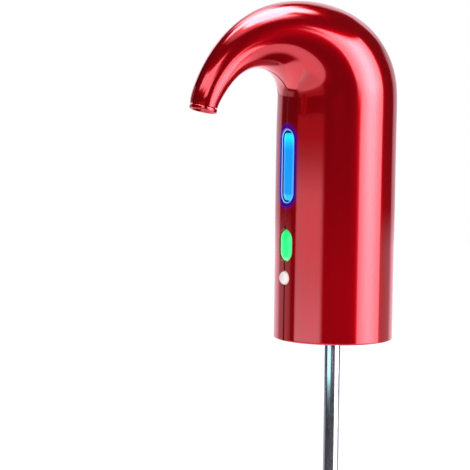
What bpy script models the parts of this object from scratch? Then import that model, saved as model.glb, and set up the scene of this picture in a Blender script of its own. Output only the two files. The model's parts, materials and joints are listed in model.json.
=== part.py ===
"""Electric wine aerator: a hooked pourer that stands on a bottle's neck.

The housing is two moulded halves that meet on the plane x = 0. The spout faces -Y.
The origin lies on the body's axis in the plane of the housing's bottom rim.
"""
import math

import bmesh
import bpy
from mathutils import Matrix, Vector

MM = 0.001

# Clearances and shared working values
FIT_GAP = 0.3 * MM
CUT_OVERRUN = 3.0 * MM
MERGE_DISTANCE = 0.001 * MM
ROUND_SIDES = 20
FINE_SIDES = 32
SMOOTH_ANGLE = math.radians(35)

# Housing: the outer form of both halves
BODY_RADIUS = 29.4 * MM
HOUSING_HEIGHT = 164.1 * MM
HOUSING_WALL = 2.2 * MM
SEAM_GAP = 0.3 * MM
RIM_ROUND = 0.8 * MM
RIM_STEPS = 2
STRAIGHT_HEIGHT = 67.9 * MM
SPOUT_REACH = 76.9 * MM
SPOUT_DROP = 52.9 * MM
SPOUT_RADIUS = 6.5 * MM
SPOUT_LEAN_DEG = 166.6
HOOK_STEPS = 3

# The hook's control sections: reach over the spout's reach, drop below the top over the
# spout's drop, girth between the spout's radius and the body's, and lean in degrees
HOOK_SECTION_SHARES = (
    (0.0, 0.986, 1.0, 0.0),
    (-0.009, 0.714, 1.0, 13.0),
    (0.116, 0.425, 0.877, 37.7),
    (0.389, 0.298, 0.532, 67.4),
    (0.653, 0.357, 0.252, 107.4),
    (0.856, 0.553, 0.087, 132.9),
    (0.985, 0.876, 0.031, 162.8),
)

# Spout mouth
COLLAR_HEIGHT = 2.0 * MM
COLLAR_RADIUS = 7.0 * MM
COLLAR_EDGE = 0.9 * MM
MOUTH_WALL = 1.0 * MM
SKIRT_WALL = 0.8 * MM
SKIRT_LENGTH = 4.5 * MM
NOZZLE_RECESS = 1.2 * MM
NOZZLE_FLANGE = 1.3 * MM
NOZZLE_NECK = 1.2 * MM
NOZZLE_BARB = 4.5 * MM
NOZZLE_THROAT_WALL = 1.0 * MM

# Controls on the front: sizes as seen, centred on the seam
WINDOW_WIDTH = 10.4 * MM
WINDOW_LENGTH = 35.7 * MM
WINDOW_HEIGHT = 85.0 * MM
WINDOW_RECESS = 1.0 * MM
BUTTON_WIDTH = 9.9 * MM
BUTTON_LENGTH = 15.2 * MM
BUTTON_DROP = 38.3 * MM
BUTTON_PROUD = 0.9 * MM
BUTTON_ROUND = 0.8 * MM
LENS_RADIUS = 3.25 * MM
LENS_DROP = 54.1 * MM
LENS_PROUD = 2.0 * MM
DOME_STEPS = 4
CONTROL_FLANGE = 1.6 * MM
CONTROL_SETBACK = 1.2 * MM
FLANGE_THICKNESS = 0.9 * MM
LIGHT_PIPE_RADIUS = 1.6 * MM

# Bottle seat: the neck enters the socket, and its lip meets the plug's flange
NECK_SIDE_SPACE = 10.2 * MM
NECK_SOCKET_WALL = 1.6 * MM
LIP_HEIGHT = 34.5 * MM
BASE_RECESS = 0.8 * MM
BASE_PLATE = 3.4 * MM
SOCKET_DECK = 2.0 * MM
PLUG_FLANGE_GAP = 2.0 * MM
PLUG_FLANGE = 2.5 * MM
PLUG_LENGTH = 22.5 * MM
PLUG_RADIUS = 8.5 * MM
PLUG_RIB = 1.4 * MM
PLUG_TAPER = 0.4 * MM
PLUG_RIBS = 3
PLUG_GROOVE_SHARE = 0.25

# Plug core: the rigid stem with the wine passage and the air passage
CORE_RADIUS = 6.2 * MM
CORE_FLANGE_RADIUS = 8.8 * MM
CORE_FLANGE = 2.0 * MM
CORE_HEAD = 8.4 * MM
CORE_FOOT = 3.7 * MM
NUT_WALL = 2.0 * MM
NUT_NOTCH = 1.6 * MM
NUT_NOTCH_DEPTH = 1.0 * MM
WINE_BORE_RADIUS = 1.2 * MM
AIR_BORE_RADIUS = 0.6 * MM
NIPPLE_WALL = 0.5 * MM
NIPPLE_LENGTH = 3.4 * MM
SUCTION_NIPPLE = 12.0 * MM

# Telescopic suction tube
TUBE_RADIUS = 4.0 * MM
TUBE_WALL = 0.5 * MM
TUBE_LENGTH = 150.0 * MM
TUBE_SLACK = 0.5 * MM
EXTENSION_WALL = 0.5 * MM
EXTENSION_STANDOFF = 2.0 * MM
EXTENSION_SHOW = 4.0 * MM
TUBE_COLLAR_WALL = 1.2 * MM
TUBE_COLLAR_LENGTH = 8.0 * MM
TUBE_COLLAR_LIP = 1.5 * MM
FOOT_WALL = 1.0 * MM
FOOT_LENGTH = 9.0 * MM
FOOT_GRIP = 5.0 * MM
FOOT_SLOT = 1.6 * MM
FOOT_SLOT_DEPTH = 2.5 * MM

# Screws and the columns that take them
COLUMN_RADIUS = 3.6 * MM
COLUMN_EMBED = 0.4 * MM
SCREW_RADIUS = 1.1 * MM
SCREW_HEAD_RADIUS = 2.0 * MM
SCREW_HEAD = 1.5 * MM
SCREW_LENGTH = 8.0 * MM
SCREW_SLOT = 0.5 * MM
SCREW_SLOT_DEPTH = 0.7 * MM

# Chassis: a deck on the columns and a spine between the motor and the battery
DECK_RISE = 3.0 * MM
DECK_THICKNESS = 2.0 * MM
DECK_SIDE_GAP = 0.6 * MM
SPINE_THICKNESS = 1.5 * MM
SPINE_HOSE_GAP = 1.3 * MM
SPINE_HEIGHT = 68.0 * MM
CLIP_WALL = 1.6 * MM
CLIP_HEIGHT = 9.0 * MM
CRADLE_RISE = 36.0 * MM
CLIP_RISES = (14.0 * MM, 48.0 * MM)
CLIP_GRIP_SHARE = 0.5

# Air pump and its motor
PUMP_RADIUS_SHARE = 0.5747
REAR_GAP = 1.1 * MM
PUMP_MOUNT = 1.7 * MM
PUMP_MOUNT_WIDTH = 4.5 * MM
PUMP_BASE = 5.7 * MM
PUMP_FLOOR = 1.4 * MM
PUMP_WALL = 2.0 * MM
DIAPHRAGM = 1.0 * MM
DIAPHRAGM_HUB = 3.0 * MM
DIAPHRAGM_HUB_WALL = 1.0 * MM
PUMP_BODY = 11.5 * MM
PUMP_ROOF = 1.6 * MM
ECCENTRIC_RADIUS = 6.0 * MM
ECCENTRIC_HEIGHT = 3.5 * MM
CRANK_OFFSET = 1.2 * MM
CRANK_RADIUS = 0.9 * MM
CRANK_LENGTH = 2.6 * MM
MOTOR_STEP = 0.5 * MM
MOTOR_LENGTH = 28.0 * MM
MOTOR_ROUND = 1.2 * MM
MOTOR_CAP = 3.2 * MM
MOTOR_CAP_STEP = 1.0 * MM
SHAFT_RADIUS = 1.0 * MM

# Battery
BATTERY_LENGTH = 65.2 * MM
BATTERY_ROUND = 0.6 * MM
BATTERY_TERMINAL_RADIUS = 3.0 * MM
BATTERY_TERMINAL = 1.0 * MM

# Circuit boards, light bar, switch and charging port
BOARD_SETBACK = 4.8 * MM
BOARD_THICKNESS = 1.6 * MM
BOARD_SIDE_SPACE = 17.2 * MM
BOARD_FOOT_DROP = 3.9 * MM
BOARD_LENGTH = 81.0 * MM
BOARD_MOTOR_GAP = 1.3 * MM
RAIL_LIP = 1.2 * MM
RAIL_OVERLAP = 1.4 * MM
RAIL_EMBED = 1.5 * MM
RAIL_FLOOR = 1.7 * MM
RAIL_LENGTH = 74.0 * MM
LIGHT_BAR_WIDTH = 6.0 * MM
LIGHT_BAR_THICKNESS = 0.8 * MM
LED_WIDTH = 3.5 * MM
LED_HEIGHT = 2.8 * MM
LED_THICKNESS = 0.7 * MM
LED_COUNT = 5
SWITCH_WIDTH = 4.5 * MM
SWITCH_THICKNESS = 0.8 * MM
SWITCH_STEM_RADIUS = 1.1 * MM
SWITCH_STEM = 0.4 * MM
BUTTON_TRAVEL = 0.8 * MM
CHARGING_BOARD_WIDTH = 16.0 * MM
CHARGING_BOARD_DEPTH = 6.4 * MM
CHARGING_BOARD_THICKNESS = 1.0 * MM
CHARGING_BOARD_HEIGHT = 9.0 * MM
SHELF_INSET = 5.0 * MM
SHELF_THICKNESS = 2.2 * MM
PORT_WIDTH = 9.0 * MM
PORT_HEIGHT = 3.2 * MM
PORT_DEPTH = 8.0 * MM
PORT_WALL = 0.4 * MM
PORT_RECESS = 0.8 * MM
PORT_TONGUE = 0.7 * MM
PORT_TONGUE_WIDTH = 6.4 * MM

# Locating posts that join the halves inside the hook
POST_RADIUS = 2.0 * MM
PIN_RADIUS = 1.1 * MM
PIN_LENGTH = 3.0 * MM
POST_STATION_SHARES = (0.33, 0.44, 0.56, 0.68)
POST_OFFSET_SHARES = (0.6, 0.6, 0.58, 0.52)

# Hoses
HOSE_WALL = 0.7 * MM
HOSE_STEP = 7.0 * MM
WINE_HOSE_SIDE = 10.2 * MM
WINE_HOSE_AXIS_Y = 2.0 * MM
AIR_HOSE_SIDE = 5.7 * MM
HOSE_BEND = 7.0 * MM
HOSE_HOLE_GAP = 0.9 * MM
HOOK_HOSE_SHARES = (0.46, 0.54, 0.62, 0.69, 0.75)

# Worked out from the sizes above
BORE_RADIUS = BODY_RADIUS - HOUSING_WALL
BUTTON_HEIGHT = WINDOW_HEIGHT - BUTTON_DROP
LENS_HEIGHT = WINDOW_HEIGHT - LENS_DROP
BOARD_FOOT = LENS_HEIGHT - BOARD_FOOT_DROP
BOARD_WIDTH = 2 * (BORE_RADIUS - BOARD_SIDE_SPACE)
NECK_BORE_RADIUS = BORE_RADIUS - NECK_SIDE_SPACE
PLUG_FLANGE_RADIUS = NECK_BORE_RADIUS - PLUG_FLANGE_GAP
HALF_SEAM = SEAM_GAP / 2
BASE_TOP = BASE_RECESS + BASE_PLATE
DECK_FLOOR = LIP_HEIGHT + PLUG_FLANGE + FIT_GAP
SOCKET_TOP = DECK_FLOOR + SOCKET_DECK
CORE_SEAT = SOCKET_TOP + FIT_GAP
CORE_TOP = CORE_SEAT + CORE_FLANGE + CORE_HEAD
PLUG_FOOT = LIP_HEIGHT - PLUG_LENGTH
STEM_FOOT = PLUG_FOOT - FIT_GAP - CORE_FOOT
TUBE_TOP = STEM_FOOT - FIT_GAP
TUBE_FOOT = TUBE_TOP - TUBE_LENGTH
AIR_BORE_X = -(TUBE_RADIUS + FIT_GAP + AIR_BORE_RADIUS)
NIPPLE_HEIGHT = CORE_SEAT + CORE_FLANGE + CORE_HEAD / 2
WINE_NIPPLE_RADIUS = WINE_BORE_RADIUS + NIPPLE_WALL
AIR_NIPPLE_RADIUS = AIR_BORE_RADIUS + NIPPLE_WALL
WINE_HOSE_RADIUS = WINE_NIPPLE_RADIUS + FIT_GAP + HOSE_WALL
AIR_HOSE_RADIUS = AIR_NIPPLE_RADIUS + FIT_GAP + HOSE_WALL
WINE_HOSE_AXIS_X = BORE_RADIUS - WINE_HOSE_SIDE
AIR_HOSE_AXIS_X = AIR_HOSE_SIDE - BORE_RADIUS
SPINE_WIDTH = 2 * (WINE_HOSE_AXIS_X - WINE_HOSE_RADIUS - SPINE_HOSE_GAP)
COLUMN_CIRCLE = BORE_RADIUS - COLUMN_RADIUS + COLUMN_EMBED
COLUMN_TOP = CORE_TOP + DECK_RISE - FIT_GAP
DECK_BASE = CORE_TOP + DECK_RISE
DECK_TOP = DECK_BASE + DECK_THICKNESS
BOARD_FRONT_Y = -(BORE_RADIUS - BOARD_SETBACK)
BOARD_REAR_Y = BOARD_FRONT_Y + BOARD_THICKNESS
RAIL_FRONT_Y = BOARD_FRONT_Y - FIT_GAP - RAIL_LIP
RAIL_REAR_Y = BOARD_REAR_Y + FIT_GAP + RAIL_LIP
MECHANISM_SPACE = (BORE_RADIUS - BOARD_REAR_Y - BOARD_MOTOR_GAP + MOTOR_STEP - FIT_GAP
                   - SPINE_THICKNESS - FIT_GAP - REAR_GAP) / 2
PUMP_RADIUS = MECHANISM_SPACE * PUMP_RADIUS_SHARE
BATTERY_RADIUS = MECHANISM_SPACE - PUMP_RADIUS
MOTOR_RADIUS = PUMP_RADIUS - MOTOR_STEP
MOTOR_Y = BOARD_REAR_Y + BOARD_MOTOR_GAP + MOTOR_RADIUS
SPINE_FRONT_Y = MOTOR_Y + PUMP_RADIUS + FIT_GAP
SPINE_REAR_Y = SPINE_FRONT_Y + SPINE_THICKNESS
BATTERY_Y = SPINE_REAR_Y + FIT_GAP + BATTERY_RADIUS
PUMP_FOOT = DECK_TOP + FIT_GAP + PUMP_MOUNT + FIT_GAP
DIAPHRAGM_FOOT = PUMP_FOOT + PUMP_BASE + FIT_GAP
PUMP_BODY_FOOT = DIAPHRAGM_FOOT + DIAPHRAGM + FIT_GAP
MOTOR_FOOT = PUMP_BODY_FOOT + PUMP_BODY + FIT_GAP
MOTOR_TOP = MOTOR_FOOT + MOTOR_LENGTH
ECCENTRIC_FOOT = PUMP_BODY_FOOT + DIAPHRAGM_HUB - CRANK_LENGTH / 2 + CRANK_LENGTH
FLANGE_FRONT_Y = -(BORE_RADIUS - CONTROL_SETBACK)
FLANGE_REAR_Y = FLANGE_FRONT_Y + FLANGE_THICKNESS
SPOUT_LEAN = math.radians(SPOUT_LEAN_DEG)
SPOUT_AXIS = Vector((0, -math.sin(SPOUT_LEAN), math.cos(SPOUT_LEAN)))
SPOUT_TIP = Vector((0, -SPOUT_REACH, HOUSING_HEIGHT - SPOUT_DROP))
MOUTH_BORE_RADIUS = SPOUT_RADIUS - MOUTH_WALL
SKIRT_RADIUS = MOUTH_BORE_RADIUS - FIT_GAP
NOZZLE_RADIUS = SKIRT_RADIUS - SKIRT_WALL - FIT_GAP
NOZZLE_FLANGE_FOOT = COLLAR_HEIGHT + FIT_GAP + SKIRT_LENGTH + FIT_GAP

PARTS = None
CUTTERS = None


def clear_scene():
    """Empty the scene and make one collection for the parts and one for the cutters."""
    global PARTS, CUTTERS
    for item in list(bpy.data.objects):
        bpy.data.objects.remove(item, do_unlink=True)
    PARTS = bpy.data.collections.new("electric_wine_aerator")
    CUTTERS = bpy.data.collections.new("cutters")
    for collection in (PARTS, CUTTERS):
        bpy.context.scene.collection.children.link(collection)


def finish_material(name, colour, roughness, metallic=0.0):
    """Return a Principled material with one colour."""
    material = bpy.data.materials.new(name)
    material.use_nodes = True
    shader = material.node_tree.nodes["Principled BSDF"]
    shader.inputs["Base Color"].default_value = (*colour, 1.0)
    shader.inputs["Roughness"].default_value = roughness
    shader.inputs["Metallic"].default_value = metallic
    material.diffuse_color = (*colour, 1.0)
    return material


def place(mesh, name, finish=None, location=(0, 0, 0)):
    """Make an object of a mesh: a part where it has a finish, and otherwise a cutter."""
    mesh.shade_smooth()
    mesh.set_sharp_from_angle(angle=SMOOTH_ANGLE)
    item = bpy.data.objects.new(name, mesh)
    item.location = location
    if finish is None:
        CUTTERS.objects.link(item)
        item.hide_render = True
        item.display_type = 'WIRE'
    else:
        PARTS.objects.link(item)
        mesh.materials.append(finish_material(name + "_finish", *finish))
    return item


def combine(target, operation, *others):
    """Add one Boolean modifier to the target for each other object."""
    for other in others:
        modifier = target.modifiers.new(other.name, 'BOOLEAN')
        modifier.operation = operation
        modifier.solver = 'EXACT'
        modifier.object = other
    return target


def mesh_from(name, *shapes):
    """Build a mesh from shape functions that each add to one bmesh."""
    bm = bmesh.new()
    for shape in shapes:
        shape(bm)
    mesh = bpy.data.meshes.new(name)
    bm.to_mesh(mesh)
    bm.free()
    return mesh


def box(low, high):
    """Return a shape: a box between two corners."""
    low, high = Vector(low), Vector(high)

    def add(bm):
        matrix = Matrix.Translation((low + high) / 2) @ Matrix.Diagonal((*(high - low), 1.0))
        bmesh.ops.create_cube(bm, size=1.0, matrix=matrix)
    return add


def rod(start, end, radius, sides=ROUND_SIDES, end_radius=None):
    """Return a shape: a cylinder or cone from one point to another."""
    start, end = Vector(start), Vector(end)
    turn = (end - start).to_track_quat('Z', 'Y').to_matrix().to_4x4()

    def add(bm):
        bmesh.ops.create_cone(
            bm, cap_ends=True, segments=sides, radius1=radius,
            radius2=radius if end_radius is None else end_radius, depth=(end - start).length,
            matrix=Matrix.Translation((start + end) / 2) @ turn)
    return add


def turned(name, profile, finish=None, location=(0, 0, 0), sides=ROUND_SIDES, closed=True):
    """Turn a profile of (radius, height) points about Z with a Screw modifier.

    A closed profile is a ring. An open one starts and ends on the axis.
    The points run down the outer side.
    """
    mesh = bpy.data.meshes.new(name)
    count = len(profile)
    edges = [(k, k + 1) for k in range(count - 1)]
    if closed:
        edges.append((count - 1, 0))
    mesh.from_pydata([(radius, 0, height) for radius, height in profile], edges, [])
    item = place(mesh, name, finish, location)
    screw = item.modifiers.new("turn", 'SCREW')
    screw.steps = sides
    screw.render_steps = sides
    screw.use_merge_vertices = True
    screw.merge_threshold = MERGE_DISTANCE
    return item


def ring_profile(inner, outer, foot, top):
    """Return the closed profile of a plain ring."""
    return [(outer, top), (outer, foot), (inner, foot), (inner, top)]


def stadium(width, length, arc_points=9):
    """Return the outline of an upright slot with round ends."""
    radius = width / 2
    rise = (length - width) / 2
    outline = []
    for side, centre in ((0, rise), (math.pi, -rise)):
        for k in range(arc_points):
            turn = side + math.pi * k / (arc_points - 1)
            outline.append((radius * math.cos(turn), centre + radius * math.sin(turn)))
    return outline


def plate(name, outline, front_y, rear_y, height, finish=None, origin_y=0.0):
    """Extrude an outline in X and Z from one Y to another, from a flat curve."""
    curve = bpy.data.curves.new(name, 'CURVE')
    curve.dimensions = '2D'
    curve.fill_mode = 'BOTH'
    curve.extrude = abs(rear_y - front_y) / 2
    spline = curve.splines.new('POLY')
    spline.points.add(len(outline) - 1)
    for point, (x, z) in zip(spline.points, outline):
        point.co = (x, z, 0, 1)
    spline.use_cyclic_u = True
    flat = bpy.data.objects.new(name, curve)
    CUTTERS.objects.link(flat)
    flat.matrix_world = (Matrix.Translation((0, (front_y + rear_y) / 2 - origin_y, 0))
                         @ Matrix.Rotation(math.pi / 2, 4, 'X'))
    return mesh_from_curve(flat, name, finish, (0, origin_y, height))


def mesh_from_curve(curve_object, name, finish=None, location=(0, 0, 0)):
    """Turn a curve object into a mesh object, with its caps welded and its place kept."""
    bpy.context.view_layer.update()
    graph = bpy.context.evaluated_depsgraph_get()
    mesh = bpy.data.meshes.new_from_object(curve_object.evaluated_get(graph))
    mesh.transform(curve_object.matrix_world)
    bpy.data.objects.remove(curve_object, do_unlink=True)
    bm = bmesh.new()
    bm.from_mesh(mesh)
    bmesh.ops.remove_doubles(bm, verts=bm.verts, dist=MERGE_DISTANCE)
    bmesh.ops.recalc_face_normals(bm, faces=bm.faces)
    bm.to_mesh(mesh)
    bm.free()
    mesh.materials.clear()
    return place(mesh, name, finish, location)


def hook_controls():
    """Return the hook's control sections: y, z, radius and lean of each."""
    end = SPOUT_TIP - SPOUT_AXIS * (COLLAR_HEIGHT + FIT_GAP)
    sections = [Vector((0, STRAIGHT_HEIGHT, BODY_RADIUS, 0))]
    for reach, drop, girth, lean in HOOK_SECTION_SHARES:
        sections.append(Vector((
            -SPOUT_REACH * reach, HOUSING_HEIGHT - SPOUT_DROP * drop,
            SPOUT_RADIUS + (BODY_RADIUS - SPOUT_RADIUS) * girth, math.radians(lean))))
    sections.append(Vector((end.y, end.z, SPOUT_RADIUS, SPOUT_LEAN)))
    sections.insert(0, 2 * sections[0] - sections[1])
    sections.append(2 * sections[-1] - sections[-2])
    return sections


def hook_section(share):
    """Return the hook's section at a share of its length, on a smooth cubic spline."""
    controls = hook_controls()
    spans = len(controls) - 3
    place_on_spans = min(max(share, 0.0), 1.0) * spans
    span = min(int(place_on_spans), spans - 1)
    t = place_on_spans - span
    weights = ((1 - t) ** 3, 3 * t ** 3 - 6 * t ** 2 + 4,
               -3 * t ** 3 + 3 * t ** 2 + 3 * t + 1, t ** 3)
    total = Vector((0, 0, 0, 0))
    for weight, control in zip(weights, controls[span:span + 4]):
        total += control * weight / sum(weights)
    return total


def hook_point(share, offset_share=0.0):
    """Return a point on the plane x = 0, out from the hook's centre line."""
    y, z, radius, lean = hook_section(share)
    out = radius * offset_share
    return Vector((0, y + out * math.cos(lean), z + out * math.sin(lean)))


def hook_form(name, inset, overrun=0.0):
    """Loft the whole outer form, drawn in by an inset, from the rim to the spout's end."""
    sections = []
    if overrun:
        sections.append(Vector((0, -overrun, BODY_RADIUS - inset, 0)))
    else:
        for k in range(RIM_STEPS + 1):
            turn = math.pi / 2 * k / RIM_STEPS
            sections.append(Vector((0, RIM_ROUND * (1 - math.cos(turn)),
                                    BODY_RADIUS - inset - RIM_ROUND * (1 - math.sin(turn)), 0)))
    steps = HOOK_STEPS * (len(hook_controls()) - 3)
    for k in range(steps + 1):
        section = hook_section(k / steps)
        section.z -= inset
        sections.append(section)
    if overrun:
        last = sections[-1].copy()
        last.x += SPOUT_AXIS.y * overrun
        last.y += SPOUT_AXIS.z * overrun
        sections.append(last)
    bm = bmesh.new()
    rings = []
    for y, z, radius, lean in sections:
        ring = []
        for k in range(FINE_SIDES):
            turn = 2 * math.pi * k / FINE_SIDES
            out = radius * math.cos(turn)
            ring.append(bm.verts.new((radius * math.sin(turn), y + out * math.cos(lean),
                                      z + out * math.sin(lean))))
        rings.append(ring)
    for ring, following in zip(rings, rings[1:]):
        for k in range(FINE_SIDES):
            beside = (k + 1) % FINE_SIDES
            bm.faces.new((ring[k], following[k], following[beside], ring[beside]))
    bm.faces.new(rings[0])
    bm.faces.new(reversed(rings[-1]))
    bmesh.ops.recalc_face_normals(bm, faces=bm.faces)
    mesh = bpy.data.meshes.new(name)
    bm.to_mesh(mesh)
    bm.free()
    return mesh


def column_places():
    """Return the four column axes as (side, x, y)."""
    reach = COLUMN_CIRCLE * math.sqrt(0.5)
    return [(side, side * reach, front * reach) for side in (-1, 1) for front in (-1, 1)]


def make_housing():
    """Make the two moulded halves with their columns, rails, shelf and locating posts."""
    limit = SPOUT_REACH + BODY_RADIUS
    inner = place(hook_form("housing_inside", HOUSING_WALL, CUT_OVERRUN), "housing_inside")
    middle = place(hook_form("housing_middle", HOUSING_WALL / 2), "housing_middle")
    mouth_start = SPOUT_TIP + SPOUT_AXIS * CUT_OVERRUN
    mouth_end = SPOUT_TIP - SPOUT_AXIS * (NOZZLE_FLANGE_FOOT + NOZZLE_FLANGE + NOZZLE_NECK)
    openings = place(mesh_from(
        "spout_bore", rod(mouth_start, mouth_end, MOUTH_BORE_RADIUS)), "spout_bore")
    window = plate("window_opening", stadium(WINDOW_WIDTH, WINDOW_LENGTH),
                   -BODY_RADIUS - CUT_OVERRUN, FLANGE_FRONT_Y, WINDOW_HEIGHT)
    button = plate("button_opening", stadium(BUTTON_WIDTH + 2 * FIT_GAP,
                                             BUTTON_LENGTH + 2 * FIT_GAP),
                   -BODY_RADIUS - CUT_OVERRUN, FLANGE_FRONT_Y, BUTTON_HEIGHT)
    lens = place(mesh_from("lens_opening", rod(
        (0, -BODY_RADIUS - CUT_OVERRUN, LENS_HEIGHT), (0, FLANGE_FRONT_Y, LENS_HEIGHT),
        LENS_RADIUS + FIT_GAP)), "lens_opening")
    port_height = CHARGING_BOARD_HEIGHT + CHARGING_BOARD_THICKNESS + FIT_GAP + PORT_HEIGHT / 2
    port = plate("port_opening",
                 [(x, z) for z, x in stadium(PORT_HEIGHT + 2 * FIT_GAP, PORT_WIDTH + 2 * FIT_GAP)],
                 BORE_RADIUS - CUT_OVERRUN, BODY_RADIUS + CUT_OVERRUN, port_height)
    for side, name in ((-1, "left"), (1, "right")):
        half_space = place(mesh_from(name + "_half_space", box(
            (min(side * HALF_SEAM, side * limit), -2 * limit, -limit),
            (max(side * HALF_SEAM, side * limit), 2 * limit, 2 * limit))), name + "_half_space")
        ribs = place(mesh_from(name + "_ribs", *housing_ribs(side)), name + "_ribs")
        combine(ribs, 'INTERSECT', middle)
        ribs.modifiers[0].use_self = True
        holes = place(mesh_from(name + "_holes", *housing_holes(side)), name + "_holes")
        half = place(hook_form(name + "_housing", 0.0), name + "_housing",
                     ((0.45, 0.005, 0.012), 0.18, 0.55))
        combine(half, 'DIFFERENCE', inner)
        combine(half, 'INTERSECT', half_space)
        combine(half, 'UNION', ribs)
        combine(half, 'DIFFERENCE', openings, window, button, lens, port, holes)
        if side < 0:
            pins = place(mesh_from("pins", *locating_pins()), "pins")
            combine(half, 'UNION', pins)


def housing_ribs(side):
    """Return one half's columns, board rail, charging shelf and posts as shapes."""
    shapes = []
    for column_side, x, y in column_places():
        if column_side == side:
            shapes.append(rod((x, y, BASE_TOP + FIT_GAP), (x, y, COLUMN_TOP), COLUMN_RADIUS, 12))
    rail_inner = BOARD_WIDTH / 2 - RAIL_OVERLAP
    rail_outer = math.sqrt(BORE_RADIUS ** 2 - RAIL_FRONT_Y ** 2) + RAIL_EMBED
    rail_foot = BOARD_FOOT - FIT_GAP - RAIL_FLOOR
    shapes.append(box(*ordered((side * rail_inner, RAIL_FRONT_Y, rail_foot),
                               (side * rail_outer, RAIL_REAR_Y, rail_foot + RAIL_LENGTH))))
    shelf_top = CHARGING_BOARD_HEIGHT - FIT_GAP
    shelf_front = NECK_BORE_RADIUS + NECK_SOCKET_WALL + FIT_GAP
    shapes.append(box(*ordered(
        (side * SHELF_INSET, shelf_front, shelf_top - SHELF_THICKNESS),
        (side * CHARGING_BOARD_WIDTH / 2, BODY_RADIUS, shelf_top))))
    for share, offset in zip(POST_STATION_SHARES, POST_OFFSET_SHARES):
        point = hook_point(share, offset)
        shapes.append(rod(point + Vector((side * HALF_SEAM, 0, 0)),
                          point + Vector((side * BODY_RADIUS, 0, 0)), POST_RADIUS, 10))
    return shapes


def ordered(first, second):
    """Return two corners sorted into a lowest and a highest corner."""
    return ([min(pair) for pair in zip(first, second)], [max(pair) for pair in zip(first, second)])


def housing_holes(side):
    """Return one half's screw holes, board groove and, on the right, pin holes."""
    shapes = []
    pilot = SCREW_RADIUS + FIT_GAP
    depth = SCREW_LENGTH + FIT_GAP
    for column_side, x, y in column_places():
        if column_side != side:
            continue
        shapes.append(rod((x, y, BASE_TOP - CUT_OVERRUN / 2), (x, y, BASE_TOP + depth), pilot, 8))
        shapes.append(rod((x, y, COLUMN_TOP - depth), (x, y, COLUMN_TOP + CUT_OVERRUN), pilot, 8))
    rail_inner = BOARD_WIDTH / 2 - RAIL_OVERLAP - CUT_OVERRUN
    shapes.append(box(*ordered(
        (side * rail_inner, BOARD_FRONT_Y - FIT_GAP, BOARD_FOOT - FIT_GAP),
        (side * (BOARD_WIDTH / 2 + FIT_GAP), BOARD_REAR_Y + FIT_GAP,
         BOARD_FOOT + RAIL_LENGTH + CUT_OVERRUN))))
    if side > 0:
        for share, offset in zip(POST_STATION_SHARES, POST_OFFSET_SHARES):
            point = hook_point(share, offset)
            shapes.append(rod(point - Vector((CUT_OVERRUN, 0, 0)),
                              point + Vector((PIN_LENGTH + FIT_GAP, 0, 0)),
                              PIN_RADIUS + FIT_GAP, 8))
    return shapes


def locating_pins():
    """Return the pins on the left half's posts as shapes."""
    shapes = []
    for share, offset in zip(POST_STATION_SHARES, POST_OFFSET_SHARES):
        point = hook_point(share, offset)
        shapes.append(rod(point - Vector((SEAM_GAP + POST_RADIUS, 0, 0)),
                          point + Vector((PIN_LENGTH, 0, 0)), PIN_RADIUS, 8))
    return shapes


def make_controls():
    """Make the light window, the power button, its switch and the indicator lens."""
    window = plate("light_window", stadium(WINDOW_WIDTH - 2 * FIT_GAP, WINDOW_LENGTH - 2 * FIT_GAP),
                   WINDOW_RECESS - BODY_RADIUS, FLANGE_REAR_Y - FLANGE_THICKNESS / 2,
                   WINDOW_HEIGHT, ((0.05, 0.15, 0.9), 0.1, 0.0))
    flange = plate("window_flange",
                   stadium(WINDOW_WIDTH + 2 * CONTROL_FLANGE, WINDOW_LENGTH + 2 * CONTROL_FLANGE),
                   FLANGE_FRONT_Y + FIT_GAP, FLANGE_REAR_Y + FIT_GAP, WINDOW_HEIGHT)
    combine(window, 'UNION', flange)

    button_y = -BODY_RADIUS
    button = plate("power_button", stadium(BUTTON_WIDTH, BUTTON_LENGTH),
                   -BODY_RADIUS - BUTTON_PROUD, FLANGE_REAR_Y - FLANGE_THICKNESS / 2,
                   0.0, ((0.03, 0.75, 0.25), 0.3, 0.0), button_y)
    edge = button.modifiers.new("front_edge", 'BEVEL')
    edge.width = BUTTON_ROUND
    edge.segments = 2
    edge.limit_method = 'ANGLE'
    flange = plate("button_flange",
                   stadium(BUTTON_WIDTH + 2 * CONTROL_FLANGE, BUTTON_LENGTH + 2 * CONTROL_FLANGE),
                   FLANGE_FRONT_Y + FIT_GAP, FLANGE_REAR_Y + FIT_GAP, BUTTON_HEIGHT)
    combine(button, 'UNION', flange)
    slide = bpy.data.objects.new("button_slide_axis", None)
    PARTS.objects.link(slide)
    slide.location = (0, 0, BUTTON_HEIGHT)
    button.parent = slide

    dome = [(0, LENS_PROUD)]
    for k in range(1, DOME_STEPS + 1):
        turn = math.pi / 2 * k / DOME_STEPS
        dome.append((LENS_RADIUS * math.sin(turn), LENS_PROUD * math.cos(turn)))
    flange_front = -(BODY_RADIUS + FLANGE_FRONT_Y + FIT_GAP)
    flange_rear = flange_front - FLANGE_THICKNESS
    flange_radius = LENS_RADIUS + CONTROL_FLANGE
    pipe_end = -(BODY_RADIUS + BOARD_FRONT_Y - FIT_GAP - LED_THICKNESS - FIT_GAP)
    profile = dome + [(LENS_RADIUS, flange_front), (flange_radius, flange_front),
                      (flange_radius, flange_rear), (LIGHT_PIPE_RADIUS, flange_rear),
                      (LIGHT_PIPE_RADIUS, pipe_end), (0, pipe_end)]
    lens = turned("indicator_lens", profile, ((0.85, 0.85, 0.88), 0.25, 0.0),
                  (0, -BODY_RADIUS, LENS_HEIGHT), closed=False)
    lens.rotation_euler = (math.pi / 2, 0, 0)


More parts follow.
